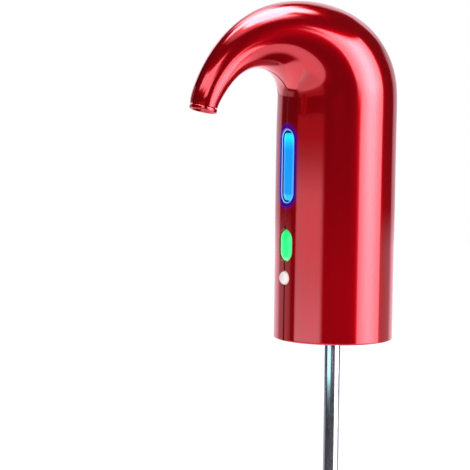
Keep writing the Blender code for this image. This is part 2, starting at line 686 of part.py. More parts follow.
def make_bottle_seat():
    """Make the neck socket, the plug, its core and the nut under it."""
    outer = BORE_RADIUS - FIT_GAP
    tube = NECK_BORE_RADIUS + NECK_SOCKET_WALL
    hole = CORE_RADIUS + FIT_GAP
    profile = [(tube, SOCKET_TOP), (tube, BASE_TOP), (outer, BASE_TOP), (outer, BASE_RECESS),
               (NECK_BORE_RADIUS, BASE_RECESS), (NECK_BORE_RADIUS, DECK_FLOOR),
               (hole, DECK_FLOOR), (hole, SOCKET_TOP)]
    socket = turned("neck_socket", profile, ((0.03, 0.03, 0.035), 0.4, 0.0), sides=FINE_SIDES)
    shapes = []
    for _, x, y in column_places():
        head_top = BASE_RECESS + SCREW_HEAD + FIT_GAP
        shapes.append(rod((x, y, BASE_RECESS - CUT_OVERRUN), (x, y, head_top),
                          SCREW_HEAD_RADIUS + FIT_GAP, 12))
        shapes.append(rod((x, y, head_top - FIT_GAP), (x, y, BASE_TOP + CUT_OVERRUN),
                          SCREW_RADIUS + FIT_GAP, 8))
    for k, shape in enumerate(shapes):
        cutter = place(mesh_from("socket_hole_%d" % k, shape), "socket_hole_%d" % k)
        combine(socket, 'DIFFERENCE', cutter)

    top = LIP_HEIGHT + PLUG_FLANGE
    plug = [(PLUG_FLANGE_RADIUS, top), (PLUG_FLANGE_RADIUS, LIP_HEIGHT)]
    pitch = PLUG_LENGTH / PLUG_RIBS
    for k in range(PLUG_RIBS):
        crest = LIP_HEIGHT - pitch * (k + 0.5)
        root = PLUG_RADIUS - PLUG_TAPER * k
        if k == 0:
            plug.append((root, LIP_HEIGHT))
        plug += [(root, LIP_HEIGHT - pitch * (k + PLUG_GROOVE_SHARE)),
                 (root + PLUG_RIB, crest),
                 (root, LIP_HEIGHT - pitch * (k + 1 - PLUG_GROOVE_SHARE))]
    plug += [(PLUG_RADIUS - PLUG_TAPER * PLUG_RIBS, PLUG_FOOT), (hole, PLUG_FOOT), (hole, top)]
    turned("bottle_plug", plug, ((0.06, 0.06, 0.065), 0.6, 0.0), sides=28)

    nipple = TUBE_RADIUS - TUBE_WALL - FIT_GAP
    nipple_foot = STEM_FOOT - SUCTION_NIPPLE
    flange_top = CORE_SEAT + CORE_FLANGE
    stem = [(0, CORE_TOP), (CORE_RADIUS, CORE_TOP), (CORE_RADIUS, flange_top),
            (CORE_FLANGE_RADIUS, flange_top), (CORE_FLANGE_RADIUS, CORE_SEAT),
            (CORE_RADIUS, CORE_SEAT), (CORE_RADIUS, STEM_FOOT), (nipple, STEM_FOOT),
            (nipple, nipple_foot), (0, nipple_foot)]
    core = turned("plug_core", stem, ((0.75, 0.75, 0.77), 0.35, 0.0), closed=False)
    reach = CORE_RADIUS + NIPPLE_LENGTH
    for name, operation, shape in (
            ("wine_nipple", 'UNION',
             rod((0, 0, NIPPLE_HEIGHT), (reach, 0, NIPPLE_HEIGHT), WINE_NIPPLE_RADIUS, 12)),
            ("air_nipple", 'UNION',
             rod((AIR_BORE_X / 2, 0, NIPPLE_HEIGHT), (-reach, 0, NIPPLE_HEIGHT),
                 AIR_NIPPLE_RADIUS, 12)),
            ("wine_riser", 'DIFFERENCE',
             rod((0, 0, nipple_foot - CUT_OVERRUN), (0, 0, NIPPLE_HEIGHT + WINE_BORE_RADIUS),
                 WINE_BORE_RADIUS, 12)),
            ("wine_turn", 'DIFFERENCE',
             rod((0, 0, NIPPLE_HEIGHT), (reach + CUT_OVERRUN, 0, NIPPLE_HEIGHT),
                 WINE_BORE_RADIUS * math.cos(math.pi / 12), 11)),
            ("air_riser", 'DIFFERENCE',
             rod((AIR_BORE_X, 0, STEM_FOOT - CUT_OVERRUN),
                 (AIR_BORE_X, 0, NIPPLE_HEIGHT + AIR_BORE_RADIUS), AIR_BORE_RADIUS, 10)),
            ("air_turn", 'DIFFERENCE',
             rod((AIR_BORE_X, 0, NIPPLE_HEIGHT), (-reach - CUT_OVERRUN, 0, NIPPLE_HEIGHT),
                 AIR_BORE_RADIUS * math.cos(math.pi / 10), 9))):
        combine(core, operation, place(mesh_from(name, shape), name))

    nut_radius = hole + NUT_WALL
    nut = turned("plug_nut", ring_profile(hole, nut_radius, STEM_FOOT, PLUG_FOOT - FIT_GAP),
                 ((0.75, 0.75, 0.77), 0.35, 0.0), sides=24)
    notch_top = STEM_FOOT + NUT_NOTCH_DEPTH
    for name, low, high in (
            ("nut_notch_x", (-nut_radius - CUT_OVERRUN, -NUT_NOTCH / 2, STEM_FOOT - CUT_OVERRUN),
             (nut_radius + CUT_OVERRUN, NUT_NOTCH / 2, notch_top)),
            ("nut_notch_y", (-NUT_NOTCH / 2, -nut_radius - CUT_OVERRUN, STEM_FOOT - CUT_OVERRUN),
             (NUT_NOTCH / 2, nut_radius + CUT_OVERRUN, notch_top))):
        combine(nut, 'DIFFERENCE', place(mesh_from(name, box(low, high)), name))


def make_suction_tube():
    """Make the telescopic straw: the fixed tube, its collar, the sliding tube and its foot."""
    steel = ((0.62, 0.62, 0.64), 0.22, 1.0)
    plastic = ((0.04, 0.04, 0.045), 0.45, 0.0)
    bore = TUBE_RADIUS - TUBE_WALL
    turned("suction_tube", ring_profile(bore, TUBE_RADIUS, TUBE_FOOT, TUBE_TOP), steel)
    slide = bore - TUBE_SLACK
    collar_bore = TUBE_RADIUS + FIT_GAP
    collar_radius = collar_bore + TUBE_COLLAR_WALL
    lip_top = TUBE_FOOT - FIT_GAP
    collar_foot = lip_top - TUBE_COLLAR_LIP
    turned("tube_collar",
           [(collar_radius, collar_foot + TUBE_COLLAR_LENGTH), (collar_radius, collar_foot),
            (slide + FIT_GAP, collar_foot), (slide + FIT_GAP, lip_top), (collar_bore, lip_top),
            (collar_bore, collar_foot + TUBE_COLLAR_LENGTH)], plastic)

    axis = bpy.data.objects.new("extension_axis", None)
    PARTS.objects.link(axis)
    top = STEM_FOOT - SUCTION_NIPPLE - EXTENSION_STANDOFF
    foot_top = collar_foot - EXTENSION_SHOW
    tube_end = foot_top - FOOT_GRIP
    tube = turned("extension_tube",
                  ring_profile(slide - EXTENSION_WALL, slide, tube_end, top), steel)
    foot_bore = slide + FIT_GAP
    foot_radius = foot_bore + FOOT_WALL
    foot = turned("tube_foot",
                  [(foot_radius, foot_top), (foot_radius, foot_top - FOOT_LENGTH),
                   (slide - EXTENSION_WALL, foot_top - FOOT_LENGTH),
                   (slide - EXTENSION_WALL, tube_end - FIT_GAP), (foot_bore, tube_end - FIT_GAP),
                   (foot_bore, foot_top)], plastic)
    slot = FOOT_SLOT / 2
    slot_foot = foot_top - FOOT_LENGTH - CUT_OVERRUN
    slot_top = foot_top - FOOT_LENGTH + FOOT_SLOT_DEPTH
    reach = foot_radius + CUT_OVERRUN
    for name, low, high in (("foot_slot_x", (-reach, -slot, slot_foot), (reach, slot, slot_top)),
                            ("foot_slot_y", (-slot, -reach, slot_foot), (slot, reach, slot_top))):
        combine(foot, 'DIFFERENCE', place(mesh_from(name, box(low, high)), name))
    tube.parent = axis
    foot.parent = axis


def make_screw(name, x, y, head_seat, downwards):
    """Make one pan-head screw whose head bears at head_seat."""
    steel = ((0.5, 0.5, 0.52), 0.35, 1.0)
    profile = [(0, SCREW_HEAD), (SCREW_HEAD_RADIUS - SCREW_SLOT, SCREW_HEAD),
               (SCREW_HEAD_RADIUS, SCREW_HEAD - SCREW_SLOT), (SCREW_HEAD_RADIUS, 0),
               (SCREW_RADIUS, 0), (SCREW_RADIUS, SCREW_RADIUS - SCREW_LENGTH), (0, -SCREW_LENGTH)]
    screw = turned(name, profile, steel, (x, y, head_seat), sides=10, closed=False)
    reach = SCREW_HEAD_RADIUS + CUT_OVERRUN
    slot = place(mesh_from(name + "_slot", box(
        (-reach, -SCREW_SLOT / 2, SCREW_HEAD - SCREW_SLOT_DEPTH),
        (reach, SCREW_SLOT / 2, SCREW_HEAD + CUT_OVERRUN))), name + "_slot")
    slot.parent = screw
    combine(screw, 'DIFFERENCE', slot)
    if not downwards:
        screw.rotation_euler = (math.pi, 0, 0)


def make_screws():
    """Make the four base screws and the four that hold the chassis on the columns."""
    for k, (_, x, y) in enumerate(column_places()):
        make_screw("base_screw_%d" % (k + 1), x, y, BASE_RECESS + SCREW_HEAD, False)
        make_screw("chassis_screw_%d" % (k + 1), x, y, DECK_TOP + FIT_GAP, True)


def make_chassis():
    """Make the inner frame: deck, spine, motor cradle and battery clips in one moulding."""
    radius = BORE_RADIUS - DECK_SIDE_GAP
    chassis = place(mesh_from("chassis", rod((0, 0, DECK_BASE), (0, 0, DECK_TOP), radius,
                                             FINE_SIDES)),
                    "chassis", ((0.12, 0.12, 0.13), 0.5, 0.0))
    spine = place(mesh_from("spine", box(
        (-SPINE_WIDTH / 2, SPINE_FRONT_Y, DECK_BASE + DECK_THICKNESS / 2),
        (SPINE_WIDTH / 2, SPINE_REAR_Y, DECK_TOP + SPINE_HEIGHT))), "spine")
    cradle_foot = DECK_TOP + CRADLE_RISE
    cradle_radius = MOTOR_RADIUS + FIT_GAP + CLIP_WALL
    clip_radius = BATTERY_RADIUS + FIT_GAP + CLIP_WALL
    cradle = place(mesh_from("cradle", rod(
        (0, MOTOR_Y, cradle_foot), (0, MOTOR_Y, cradle_foot + CLIP_HEIGHT), cradle_radius, 28)),
        "cradle")
    clips = place(mesh_from("clips", *[rod(
        (0, BATTERY_Y, DECK_TOP + rise), (0, BATTERY_Y, DECK_TOP + rise + CLIP_HEIGHT),
        clip_radius, 24) for rise in CLIP_RISES]), "clips")
    combine(chassis, 'UNION', spine, cradle, clips)

    top = DECK_TOP + SPINE_HEIGHT + CUT_OVERRUN
    cradle_mouth = MOTOR_Y - MOTOR_RADIUS * CLIP_GRIP_SHARE
    clip_mouth = BATTERY_Y + BATTERY_RADIUS * CLIP_GRIP_SHARE
    for name, shape in (
            ("motor_space", rod((0, MOTOR_Y, DECK_TOP + FIT_GAP), (0, MOTOR_Y, top),
                                MOTOR_RADIUS + FIT_GAP, 28)),
            ("battery_space", rod((0, BATTERY_Y, DECK_TOP + FIT_GAP), (0, BATTERY_Y, top),
                                  BATTERY_RADIUS + FIT_GAP, 24)),
            ("cradle_mouth", box((-cradle_radius, MOTOR_Y - 2 * cradle_radius, DECK_TOP + FIT_GAP),
                                 (cradle_radius, cradle_mouth, top))),
            ("clip_mouth", box((-clip_radius, clip_mouth, DECK_TOP + FIT_GAP),
                               (clip_radius, BATTERY_Y + 2 * clip_radius, top))),
            ("board_side", box((-BODY_RADIUS, -2 * BODY_RADIUS, DECK_BASE - CUT_OVERRUN),
                               (BODY_RADIUS, RAIL_REAR_Y + FIT_GAP, DECK_TOP + CUT_OVERRUN))),
            ("wine_hose_hole", rod((WINE_HOSE_AXIS_X, WINE_HOSE_AXIS_Y, DECK_BASE - CUT_OVERRUN),
                                   (WINE_HOSE_AXIS_X, WINE_HOSE_AXIS_Y, DECK_TOP + CUT_OVERRUN),
                                   WINE_HOSE_RADIUS + HOSE_HOLE_GAP, 16)),
            ("air_hose_hole", rod((AIR_HOSE_AXIS_X, MOTOR_Y, DECK_BASE - CUT_OVERRUN),
                                  (AIR_HOSE_AXIS_X, MOTOR_Y, DECK_TOP + CUT_OVERRUN),
                                  AIR_HOSE_RADIUS + HOSE_HOLE_GAP, 16))):
        combine(chassis, 'DIFFERENCE', place(mesh_from(name, shape), name))
    holes = [rod((x, y, DECK_BASE - CUT_OVERRUN), (x, y, DECK_TOP + CUT_OVERRUN),
                 SCREW_RADIUS + FIT_GAP, 8) for _, x, y in column_places()]
    combine(chassis, 'DIFFERENCE', place(mesh_from("deck_holes", *holes), "deck_holes"))


def make_pump():
    """Make the diaphragm air pump: mount, base, diaphragm and body."""
    axis = (0, MOTOR_Y, 0)
    mount_foot = DECK_TOP + FIT_GAP
    turned("pump_mount", ring_profile(PUMP_RADIUS - PUMP_MOUNT_WIDTH, PUMP_RADIUS,
                                      mount_foot, mount_foot + PUMP_MOUNT),
           ((0.03, 0.03, 0.03), 0.8, 0.0), axis, 24)
    white = ((0.8, 0.8, 0.78), 0.45, 0.0)
    chamber = PUMP_RADIUS - PUMP_WALL
    base_top = PUMP_FOOT + PUMP_BASE
    base = turned("pump_base", [(0, PUMP_FOOT + PUMP_FLOOR), (chamber, PUMP_FOOT + PUMP_FLOOR),
                                (chamber, base_top), (PUMP_RADIUS, base_top),
                                (PUMP_RADIUS, PUMP_FOOT), (0, PUMP_FOOT)], white, axis, 24, False)
    outlet = (PUMP_FOOT + PUMP_FLOOR + base_top) / 2
    reach = -PUMP_RADIUS - NIPPLE_LENGTH
    nipple = place(mesh_from("outlet_nipple", rod(
        (-chamber - PUMP_WALL / 2, MOTOR_Y, outlet), (reach, MOTOR_Y, outlet),
        AIR_NIPPLE_RADIUS, 12)), "outlet_nipple")
    bore = place(mesh_from("outlet_bore", rod(
        (-chamber + CUT_OVERRUN, MOTOR_Y, outlet), (reach - CUT_OVERRUN, MOTOR_Y, outlet),
        AIR_BORE_RADIUS, 10)), "outlet_bore")
    combine(base, 'UNION', nipple)
    combine(base, 'DIFFERENCE', bore)

    socket = CRANK_OFFSET + CRANK_RADIUS + FIT_GAP
    hub_top = PUMP_BODY_FOOT + DIAPHRAGM_HUB
    disc_top = DIAPHRAGM_FOOT + DIAPHRAGM
    turned("pump_diaphragm",
           [(0, disc_top), (socket, disc_top), (socket, hub_top),
            (socket + DIAPHRAGM_HUB_WALL, hub_top), (socket + DIAPHRAGM_HUB_WALL, disc_top),
            (PUMP_RADIUS, disc_top), (PUMP_RADIUS, DIAPHRAGM_FOOT), (0, DIAPHRAGM_FOOT)],
           ((0.1, 0.1, 0.1), 0.7, 0.0), axis, 24, False)

    body_top = PUMP_BODY_FOOT + PUMP_BODY
    roof = body_top - PUMP_ROOF
    hole = SHAFT_RADIUS + FIT_GAP
    turned("pump_body", [(PUMP_RADIUS, body_top), (PUMP_RADIUS, PUMP_BODY_FOOT),
                         (chamber, PUMP_BODY_FOOT), (chamber, roof), (hole, roof),
                         (hole, body_top)], white, axis, 24)


def make_motor():
    """Make the motor's can and end cap, and the shaft with the eccentric it turns."""
    axis = (0, MOTOR_Y, 0)
    hole = SHAFT_RADIUS + FIT_GAP
    turned("motor_can",
           [(hole, MOTOR_TOP), (MOTOR_RADIUS, MOTOR_TOP), (MOTOR_RADIUS, MOTOR_FOOT + MOTOR_ROUND),
            (MOTOR_RADIUS - MOTOR_ROUND, MOTOR_FOOT), (hole, MOTOR_FOOT)],
           ((0.6, 0.6, 0.62), 0.3, 1.0), axis, 28)
    cap_foot = MOTOR_TOP + FIT_GAP
    cap_top = cap_foot + MOTOR_CAP
    step = MOTOR_RADIUS - MOTOR_CAP_STEP
    shaft_top = cap_foot + MOTOR_CAP / 2
    turned("motor_end_cap",
           [(0, cap_top), (step, cap_top), (step, cap_foot), (hole, cap_foot),
            (hole, shaft_top + FIT_GAP), (0, shaft_top + FIT_GAP)],
           ((0.05, 0.05, 0.05), 0.5, 0.0), axis, 24, False)

    spin = bpy.data.objects.new("motor_axis", None)
    PARTS.objects.link(spin)
    spin.location = axis
    disc_top = ECCENTRIC_FOOT + ECCENTRIC_HEIGHT
    shaft_foot = disc_top - ECCENTRIC_HEIGHT / 2
    shaft = turned("motor_shaft", [(0, shaft_top), (SHAFT_RADIUS, shaft_top),
                                   (SHAFT_RADIUS, shaft_foot), (0, shaft_foot)],
                   ((0.6, 0.6, 0.62), 0.25, 1.0), sides=16, closed=False)
    seat = SHAFT_RADIUS + FIT_GAP
    disc = turned("eccentric", [(0, shaft_foot - FIT_GAP), (seat, shaft_foot - FIT_GAP),
                                (seat, disc_top), (ECCENTRIC_RADIUS, disc_top),
                                (ECCENTRIC_RADIUS, ECCENTRIC_FOOT), (0, ECCENTRIC_FOOT)],
                  ((0.85, 0.8, 0.6), 0.4, 0.0), closed=False)
    crank = place(mesh_from("crank_pin", rod(
        (CRANK_OFFSET, 0, ECCENTRIC_FOOT + SHAFT_RADIUS),
        (CRANK_OFFSET, 0, ECCENTRIC_FOOT - CRANK_LENGTH), CRANK_RADIUS, 12)), "crank_pin")
    crank.parent = disc
    combine(disc, 'UNION', crank)
    shaft.parent = spin
    disc.parent = spin


def make_battery():
    """Make the cell, which stands on the deck between the clips."""
    foot = DECK_TOP + FIT_GAP
    top = foot + BATTERY_LENGTH - BATTERY_TERMINAL
    edge = BATTERY_RADIUS - BATTERY_ROUND
    turned("battery_cell",
           [(0, top + BATTERY_TERMINAL), (BATTERY_TERMINAL_RADIUS, top + BATTERY_TERMINAL),
            (BATTERY_TERMINAL_RADIUS, top), (edge, top), (BATTERY_RADIUS, top - BATTERY_ROUND),
            (BATTERY_RADIUS, foot + BATTERY_ROUND), (edge, foot), (0, foot)],
           ((0.1, 0.35, 0.6), 0.35, 0.0), (0, BATTERY_Y, 0), 24, False)


def make_boards():
    """Make the main board with its light bar, switch and indicator, and the charging board."""
    green = ((0.02, 0.16, 0.07), 0.4, 0.0)
    place(mesh_from("main_board", box(
        (-BOARD_WIDTH / 2, BOARD_FRONT_Y, BOARD_FOOT),
        (BOARD_WIDTH / 2, BOARD_REAR_Y, BOARD_FOOT + BOARD_LENGTH))), "main_board", green)

    seat = BOARD_FRONT_Y - FIT_GAP
    bar_front = seat - LIGHT_BAR_THICKNESS
    half = WINDOW_LENGTH / 2
    bar = place(mesh_from("light_bar", box(
        (-LIGHT_BAR_WIDTH / 2, bar_front, WINDOW_HEIGHT - half),
        (LIGHT_BAR_WIDTH / 2, seat, WINDOW_HEIGHT + half))), "light_bar",
        ((0.9, 0.9, 0.85), 0.5, 0.0))
    pitch = WINDOW_LENGTH / LED_COUNT
    lights = []
    for k in range(LED_COUNT):
        height = WINDOW_HEIGHT + pitch * (k - (LED_COUNT - 1) / 2)
        lights.append(box((-LED_WIDTH / 2, bar_front - LED_THICKNESS, height - LED_HEIGHT / 2),
                          (LED_WIDTH / 2, seat - LIGHT_BAR_THICKNESS / 2, height + LED_HEIGHT / 2)))
    combine(bar, 'UNION', place(mesh_from("light_bar_leds", *lights), "light_bar_leds"))

    switch_front = seat - SWITCH_THICKNESS
    switch = place(mesh_from("button_switch", box(
        (-SWITCH_WIDTH / 2, switch_front, BUTTON_HEIGHT - SWITCH_WIDTH / 2),
        (SWITCH_WIDTH / 2, seat, BUTTON_HEIGHT + SWITCH_WIDTH / 2))), "button_switch",
        ((0.4, 0.4, 0.42), 0.4, 0.5))
    combine(switch, 'UNION', place(mesh_from("switch_stem", rod(
        (0, seat - SWITCH_THICKNESS / 2, BUTTON_HEIGHT),
        (0, switch_front - SWITCH_STEM, BUTTON_HEIGHT), SWITCH_STEM_RADIUS, 12)), "switch_stem"))

    place(mesh_from("indicator_light", box(
        (-LED_WIDTH / 2, seat - LED_THICKNESS, LENS_HEIGHT - LED_HEIGHT / 2),
        (LED_WIDTH / 2, seat, LENS_HEIGHT + LED_HEIGHT / 2))), "indicator_light",
        ((0.9, 0.9, 0.85), 0.5, 0.0))

    front = NECK_BORE_RADIUS + NECK_SOCKET_WALL + 2 * FIT_GAP
    board_top = CHARGING_BOARD_HEIGHT + CHARGING_BOARD_THICKNESS
    place(mesh_from("charging_board", box(
        (-CHARGING_BOARD_WIDTH / 2, front, CHARGING_BOARD_HEIGHT),
        (CHARGING_BOARD_WIDTH / 2, front + CHARGING_BOARD_DEPTH, board_top))),
        "charging_board", green)
    mouth = BODY_RADIUS - PORT_RECESS
    centre = board_top + FIT_GAP + PORT_HEIGHT / 2
    port = plate("charging_port", [(x, z) for z, x in stadium(PORT_HEIGHT, PORT_WIDTH)],
                 mouth - PORT_DEPTH, mouth, centre, ((0.6, 0.6, 0.62), 0.3, 1.0))
    cavity = plate("port_cavity", [(x, z) for z, x in stadium(PORT_HEIGHT - 2 * PORT_WALL,
                                                              PORT_WIDTH - 2 * PORT_WALL)],
                   mouth - PORT_DEPTH + PORT_TONGUE, mouth + CUT_OVERRUN, centre)
    combine(port, 'DIFFERENCE', cavity)
    tongue = place(mesh_from("port_tongue", box(
        (-PORT_TONGUE_WIDTH / 2, mouth - PORT_DEPTH + PORT_TONGUE / 2, centre - PORT_TONGUE / 2),
        (PORT_TONGUE_WIDTH / 2, mouth - PORT_TONGUE, centre + PORT_TONGUE / 2))), "port_tongue")
    combine(port, 'UNION', tongue)


def make_spout_end():
    """Make the collar ring at the spout's end and the nozzle that sits inside it."""
    turn = (-SPOUT_AXIS).to_track_quat('Z', 'Y').to_euler()
    skirt_bore = SKIRT_RADIUS - SKIRT_WALL
    ring_top = COLLAR_HEIGHT
    skirt_top = COLLAR_HEIGHT + FIT_GAP + SKIRT_LENGTH
    collar = turned("spout_collar",
                    [(skirt_bore, skirt_top), (SKIRT_RADIUS, skirt_top), (SKIRT_RADIUS, ring_top),
                     (COLLAR_RADIUS, ring_top), (COLLAR_RADIUS, 0), (COLLAR_RADIUS - COLLAR_EDGE, 0),
                     (skirt_bore, ring_top)],
                    ((0.45, 0.005, 0.012), 0.18, 0.55), SPOUT_TIP, 28)
    collar.rotation_euler = turn
    flange_top = NOZZLE_FLANGE_FOOT + NOZZLE_FLANGE
    neck_top = flange_top + NOZZLE_NECK
    barb_top = neck_top + NOZZLE_BARB
    throat = NOZZLE_RADIUS - NOZZLE_THROAT_WALL
    foot = COLLAR_HEIGHT + NOZZLE_RECESS
    nozzle = turned("aerator_nozzle",
                    [(WINE_BORE_RADIUS, barb_top), (WINE_NIPPLE_RADIUS, barb_top),
                     (WINE_NIPPLE_RADIUS, neck_top), (NOZZLE_RADIUS, neck_top - NOZZLE_NECK / 2),
                     (SKIRT_RADIUS, flange_top), (SKIRT_RADIUS, NOZZLE_FLANGE_FOOT),
                     (NOZZLE_RADIUS, NOZZLE_FLANGE_FOOT), (NOZZLE_RADIUS, foot), (throat, foot),
                     (WINE_BORE_RADIUS, flange_top)],
                    ((0.75, 0.75, 0.77), 0.3, 0.0), SPOUT_TIP, 24)
    nozzle.rotation_euler = turn


def smooth_route(points):
    """Return points read along a smooth curve through the route's own points."""
    ends = [2 * points[0] - points[1]] + points + [2 * points[-1] - points[-2]]
    route = []
    for before, start, end, after in zip(ends, ends[1:], ends[2:], ends[3:]):
        count = max(1, round((end - start).length / HOSE_STEP))
        for k in range(count):
            t = k / count
            route.append(start + (end - before) * t / 2
                         + (2 * before - 5 * start + 4 * end - after) * t ** 2 / 2
                         + (3 * start - before - 3 * end + after) * t ** 3 / 2)
    route.append(points[-1])
    return route


def make_hose(name, points, radius, finish):
    """Make a hose: an open tube along a route, given its wall by Solidify."""
    curve = bpy.data.curves.new(name, 'CURVE')
    curve.dimensions = '3D'
    curve.bevel_depth = radius
    curve.bevel_resolution = 2
    curve.use_fill_caps = False
    spline = curve.splines.new('POLY')
    route = smooth_route(points)
    spline.points.add(len(route) - 1)
    for point, place_on_route in zip(spline.points, route):
        point.co = (*place_on_route, 1)
    item = bpy.data.objects.new(name, curve)
    CUTTERS.objects.link(item)
    hose = mesh_from_curve(item, name, finish)
    wall = hose.modifiers.new("wall", 'SOLIDIFY')
    wall.thickness = HOSE_WALL
    wall.offset = -1
    return hose


def make_hoses():
    """Make the wine hose up to the nozzle and the air hose from the pump to the core."""
    clear = CORE_RADIUS + FIT_GAP
    bend = HOSE_BEND
    x, y = WINE_HOSE_AXIS_X, WINE_HOSE_AXIS_Y
    nozzle_foot = NOZZLE_FLANGE_FOOT + NOZZLE_FLANGE + NOZZLE_NECK + FIT_GAP
    crown = hook_point(HOOK_HOSE_SHARES[0])
    shoulder = Vector((x, y, MOTOR_TOP + MOTOR_CAP))
    points = [Vector((clear, 0, NIPPLE_HEIGHT)),
              Vector((clear + NIPPLE_LENGTH, 0, NIPPLE_HEIGHT)),
              Vector((x - bend / 4, y / 2, NIPPLE_HEIGHT + bend / 3)),
              Vector((x, y, NIPPLE_HEIGHT + bend)),
              Vector((x, y, DECK_TOP)),
              Vector((x, y, (DECK_TOP + shoulder.z) / 2)),
              shoulder,
              shoulder.lerp(crown, 1 / 3) + Vector((bend / 3, 0, bend / 3)),
              shoulder.lerp(crown, 2 / 3) + Vector((0, 0, bend / 4))]
    points += [hook_point(share) for share in HOOK_HOSE_SHARES]
    points += [SPOUT_TIP - SPOUT_AXIS * (nozzle_foot + NOZZLE_BARB),
               SPOUT_TIP - SPOUT_AXIS * nozzle_foot]
    make_hose("wine_hose", points, WINE_HOSE_RADIUS, ((0.85, 0.85, 0.85), 0.3, 0.0))

    x, y = AIR_HOSE_AXIS_X, MOTOR_Y
    outlet = PUMP_FOOT + (PUMP_FLOOR + PUMP_BASE) / 2
    points = [Vector((-clear, 0, NIPPLE_HEIGHT)),
              Vector((-clear - NIPPLE_LENGTH, 0, NIPPLE_HEIGHT)),
              Vector((x + bend / 2, y / 2, NIPPLE_HEIGHT + bend / 4)),
              Vector((x, y, DECK_BASE)),
              Vector((x, y, DECK_TOP)),
              Vector((x + bend / 6, y, outlet - bend / 6)),
              Vector((-PUMP_RADIUS - NIPPLE_LENGTH - FIT_GAP, y, outlet)),
              Vector((-PUMP_RADIUS - FIT_GAP, y, outlet))]
    make_hose("air_hose", points, AIR_HOSE_RADIUS, ((0.8, 0.85, 0.85), 0.3, 0.0))


def main():
    """Build the whole aerator."""
    clear_scene()
    make_housing()
    make_controls()
    make_bottle_seat()
    make_suction_tube()
    make_screws()
    make_chassis()
    make_pump()
    make_motor()
    make_battery()
    make_boards()
    make_spout_end()
    make_hoses()


main()
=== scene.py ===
"""Looks of the electric wine aerator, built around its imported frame.

The file is laid out as a Blender add-on and run as a script. Lengths are metres in the
part's own frame: +Z up the body, -Y towards the spout, x = 0 on the seam.
"""
import json
import math

import bmesh
import bpy
from mathutils import Matrix, Vector, interpolate
from mathutils.bvhtree import BVHTree


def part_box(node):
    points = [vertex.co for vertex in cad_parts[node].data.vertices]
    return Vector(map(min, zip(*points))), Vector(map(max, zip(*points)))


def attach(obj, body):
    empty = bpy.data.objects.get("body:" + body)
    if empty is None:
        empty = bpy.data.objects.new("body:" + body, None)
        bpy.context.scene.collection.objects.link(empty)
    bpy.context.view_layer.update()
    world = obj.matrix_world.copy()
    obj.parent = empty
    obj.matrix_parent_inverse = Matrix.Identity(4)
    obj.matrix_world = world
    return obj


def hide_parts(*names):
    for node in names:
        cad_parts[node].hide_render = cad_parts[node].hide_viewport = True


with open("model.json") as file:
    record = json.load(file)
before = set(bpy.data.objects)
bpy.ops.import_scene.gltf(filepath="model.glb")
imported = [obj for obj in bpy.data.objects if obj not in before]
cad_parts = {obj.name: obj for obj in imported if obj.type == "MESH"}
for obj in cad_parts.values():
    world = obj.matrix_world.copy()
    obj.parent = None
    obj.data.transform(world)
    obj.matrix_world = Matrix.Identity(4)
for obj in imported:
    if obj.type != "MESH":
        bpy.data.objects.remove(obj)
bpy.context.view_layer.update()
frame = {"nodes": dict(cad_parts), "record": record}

bl_info = {
    "name": "Electric wine aerator",
    "version": (1, 0, 0),
    "blender": (4, 5, 0),
    "location": "View3D > Sidebar > Aerator",
    "description": "Builds the visible pieces of an electric wine aerator",
    "category": "Object",
}

MM = 0.001
# Pixels on each side of the photograph's frame
PICTURE = 470

# The hook's sections as in the part's source: reach, drop and girth shares, lean in degrees
HOOK_SECTIONS = (
    (0.0, 0.986, 1.0, 0.0),
    (-0.009, 0.714, 1.0, 13.0),
    (0.116, 0.425, 0.877, 37.7),
    (0.389, 0.298, 0.532, 67.4),
    (0.653, 0.357, 0.252, 107.4),
    (0.856, 0.553, 0.087, 132.9),
    (0.985, 0.876, 0.031, 162.8),
)
STRAIGHT_HEIGHT = 67.9 * MM
SPOUT_REACH = 76.9 * MM
SPOUT_DROP = 52.9 * MM
SPOUT_LEAN = math.radians(166.6)
COLLAR_HEIGHT = 2.0 * MM
FIT_GAP = 0.3 * MM
RIM_ROUND = 0.8 * MM
RIM_LEDGE = 1.6 * MM
# Openings: how deep their cutters reach, how far each edge is rounded, and the spout's bore
CUT_DEPTH = 6.0 * MM
WINDOW_ROUND = 0.8 * MM
BUTTON_ROUND = 0.2 * MM
LENS_ROUND = 0.12 * MM
PORT_ROUND = 0.5 * MM
MOUTH_RADIUS = 5.5 * MM
MOUTH_LENGTH = 18 * MM
TUBE_WALL = 0.5 * MM
# Steps along and round the shapes
HOOK_STEPS = 14
RIM_STEPS = 4
SHELL_SIDES = 144
ROUND_SIDES = 64
# Degrees between faces past which an edge is shaded sharp
SHARP = 35.0
# A face takes the skin's shading where it lies this near and faces this much the same way
SKIN_REACH = 0.05 * MM
SKIN_LIKENESS = 0.97
# Rays start this far in front of or behind the body's axis
RAY_START = 60 * MM


def length_property(name, description, millimetres):
    """Return a length property whose default is given in millimetres."""
    return bpy.props.FloatProperty(name=name, description=description, unit='LENGTH',
                                   default=millimetres * MM)


def colour_property(name, description, code):
    """Return a colour property whose default is given as an sRGB hex colour."""
    return bpy.props.FloatVectorProperty(
        name=name, description=description, subtype='COLOR', size=3, min=0.0, max=1.0,
        default=linear(code))


def linear(code):
    """Turn an sRGB hex colour into linear values."""
    values = []
    for k in (1, 3, 5):
        value = int(code[k:k + 2], 16) / 255
        values.append(value / 12.92 if value <= 0.04045 else ((value + 0.055) / 1.055) ** 2.4)
    return tuple(values)


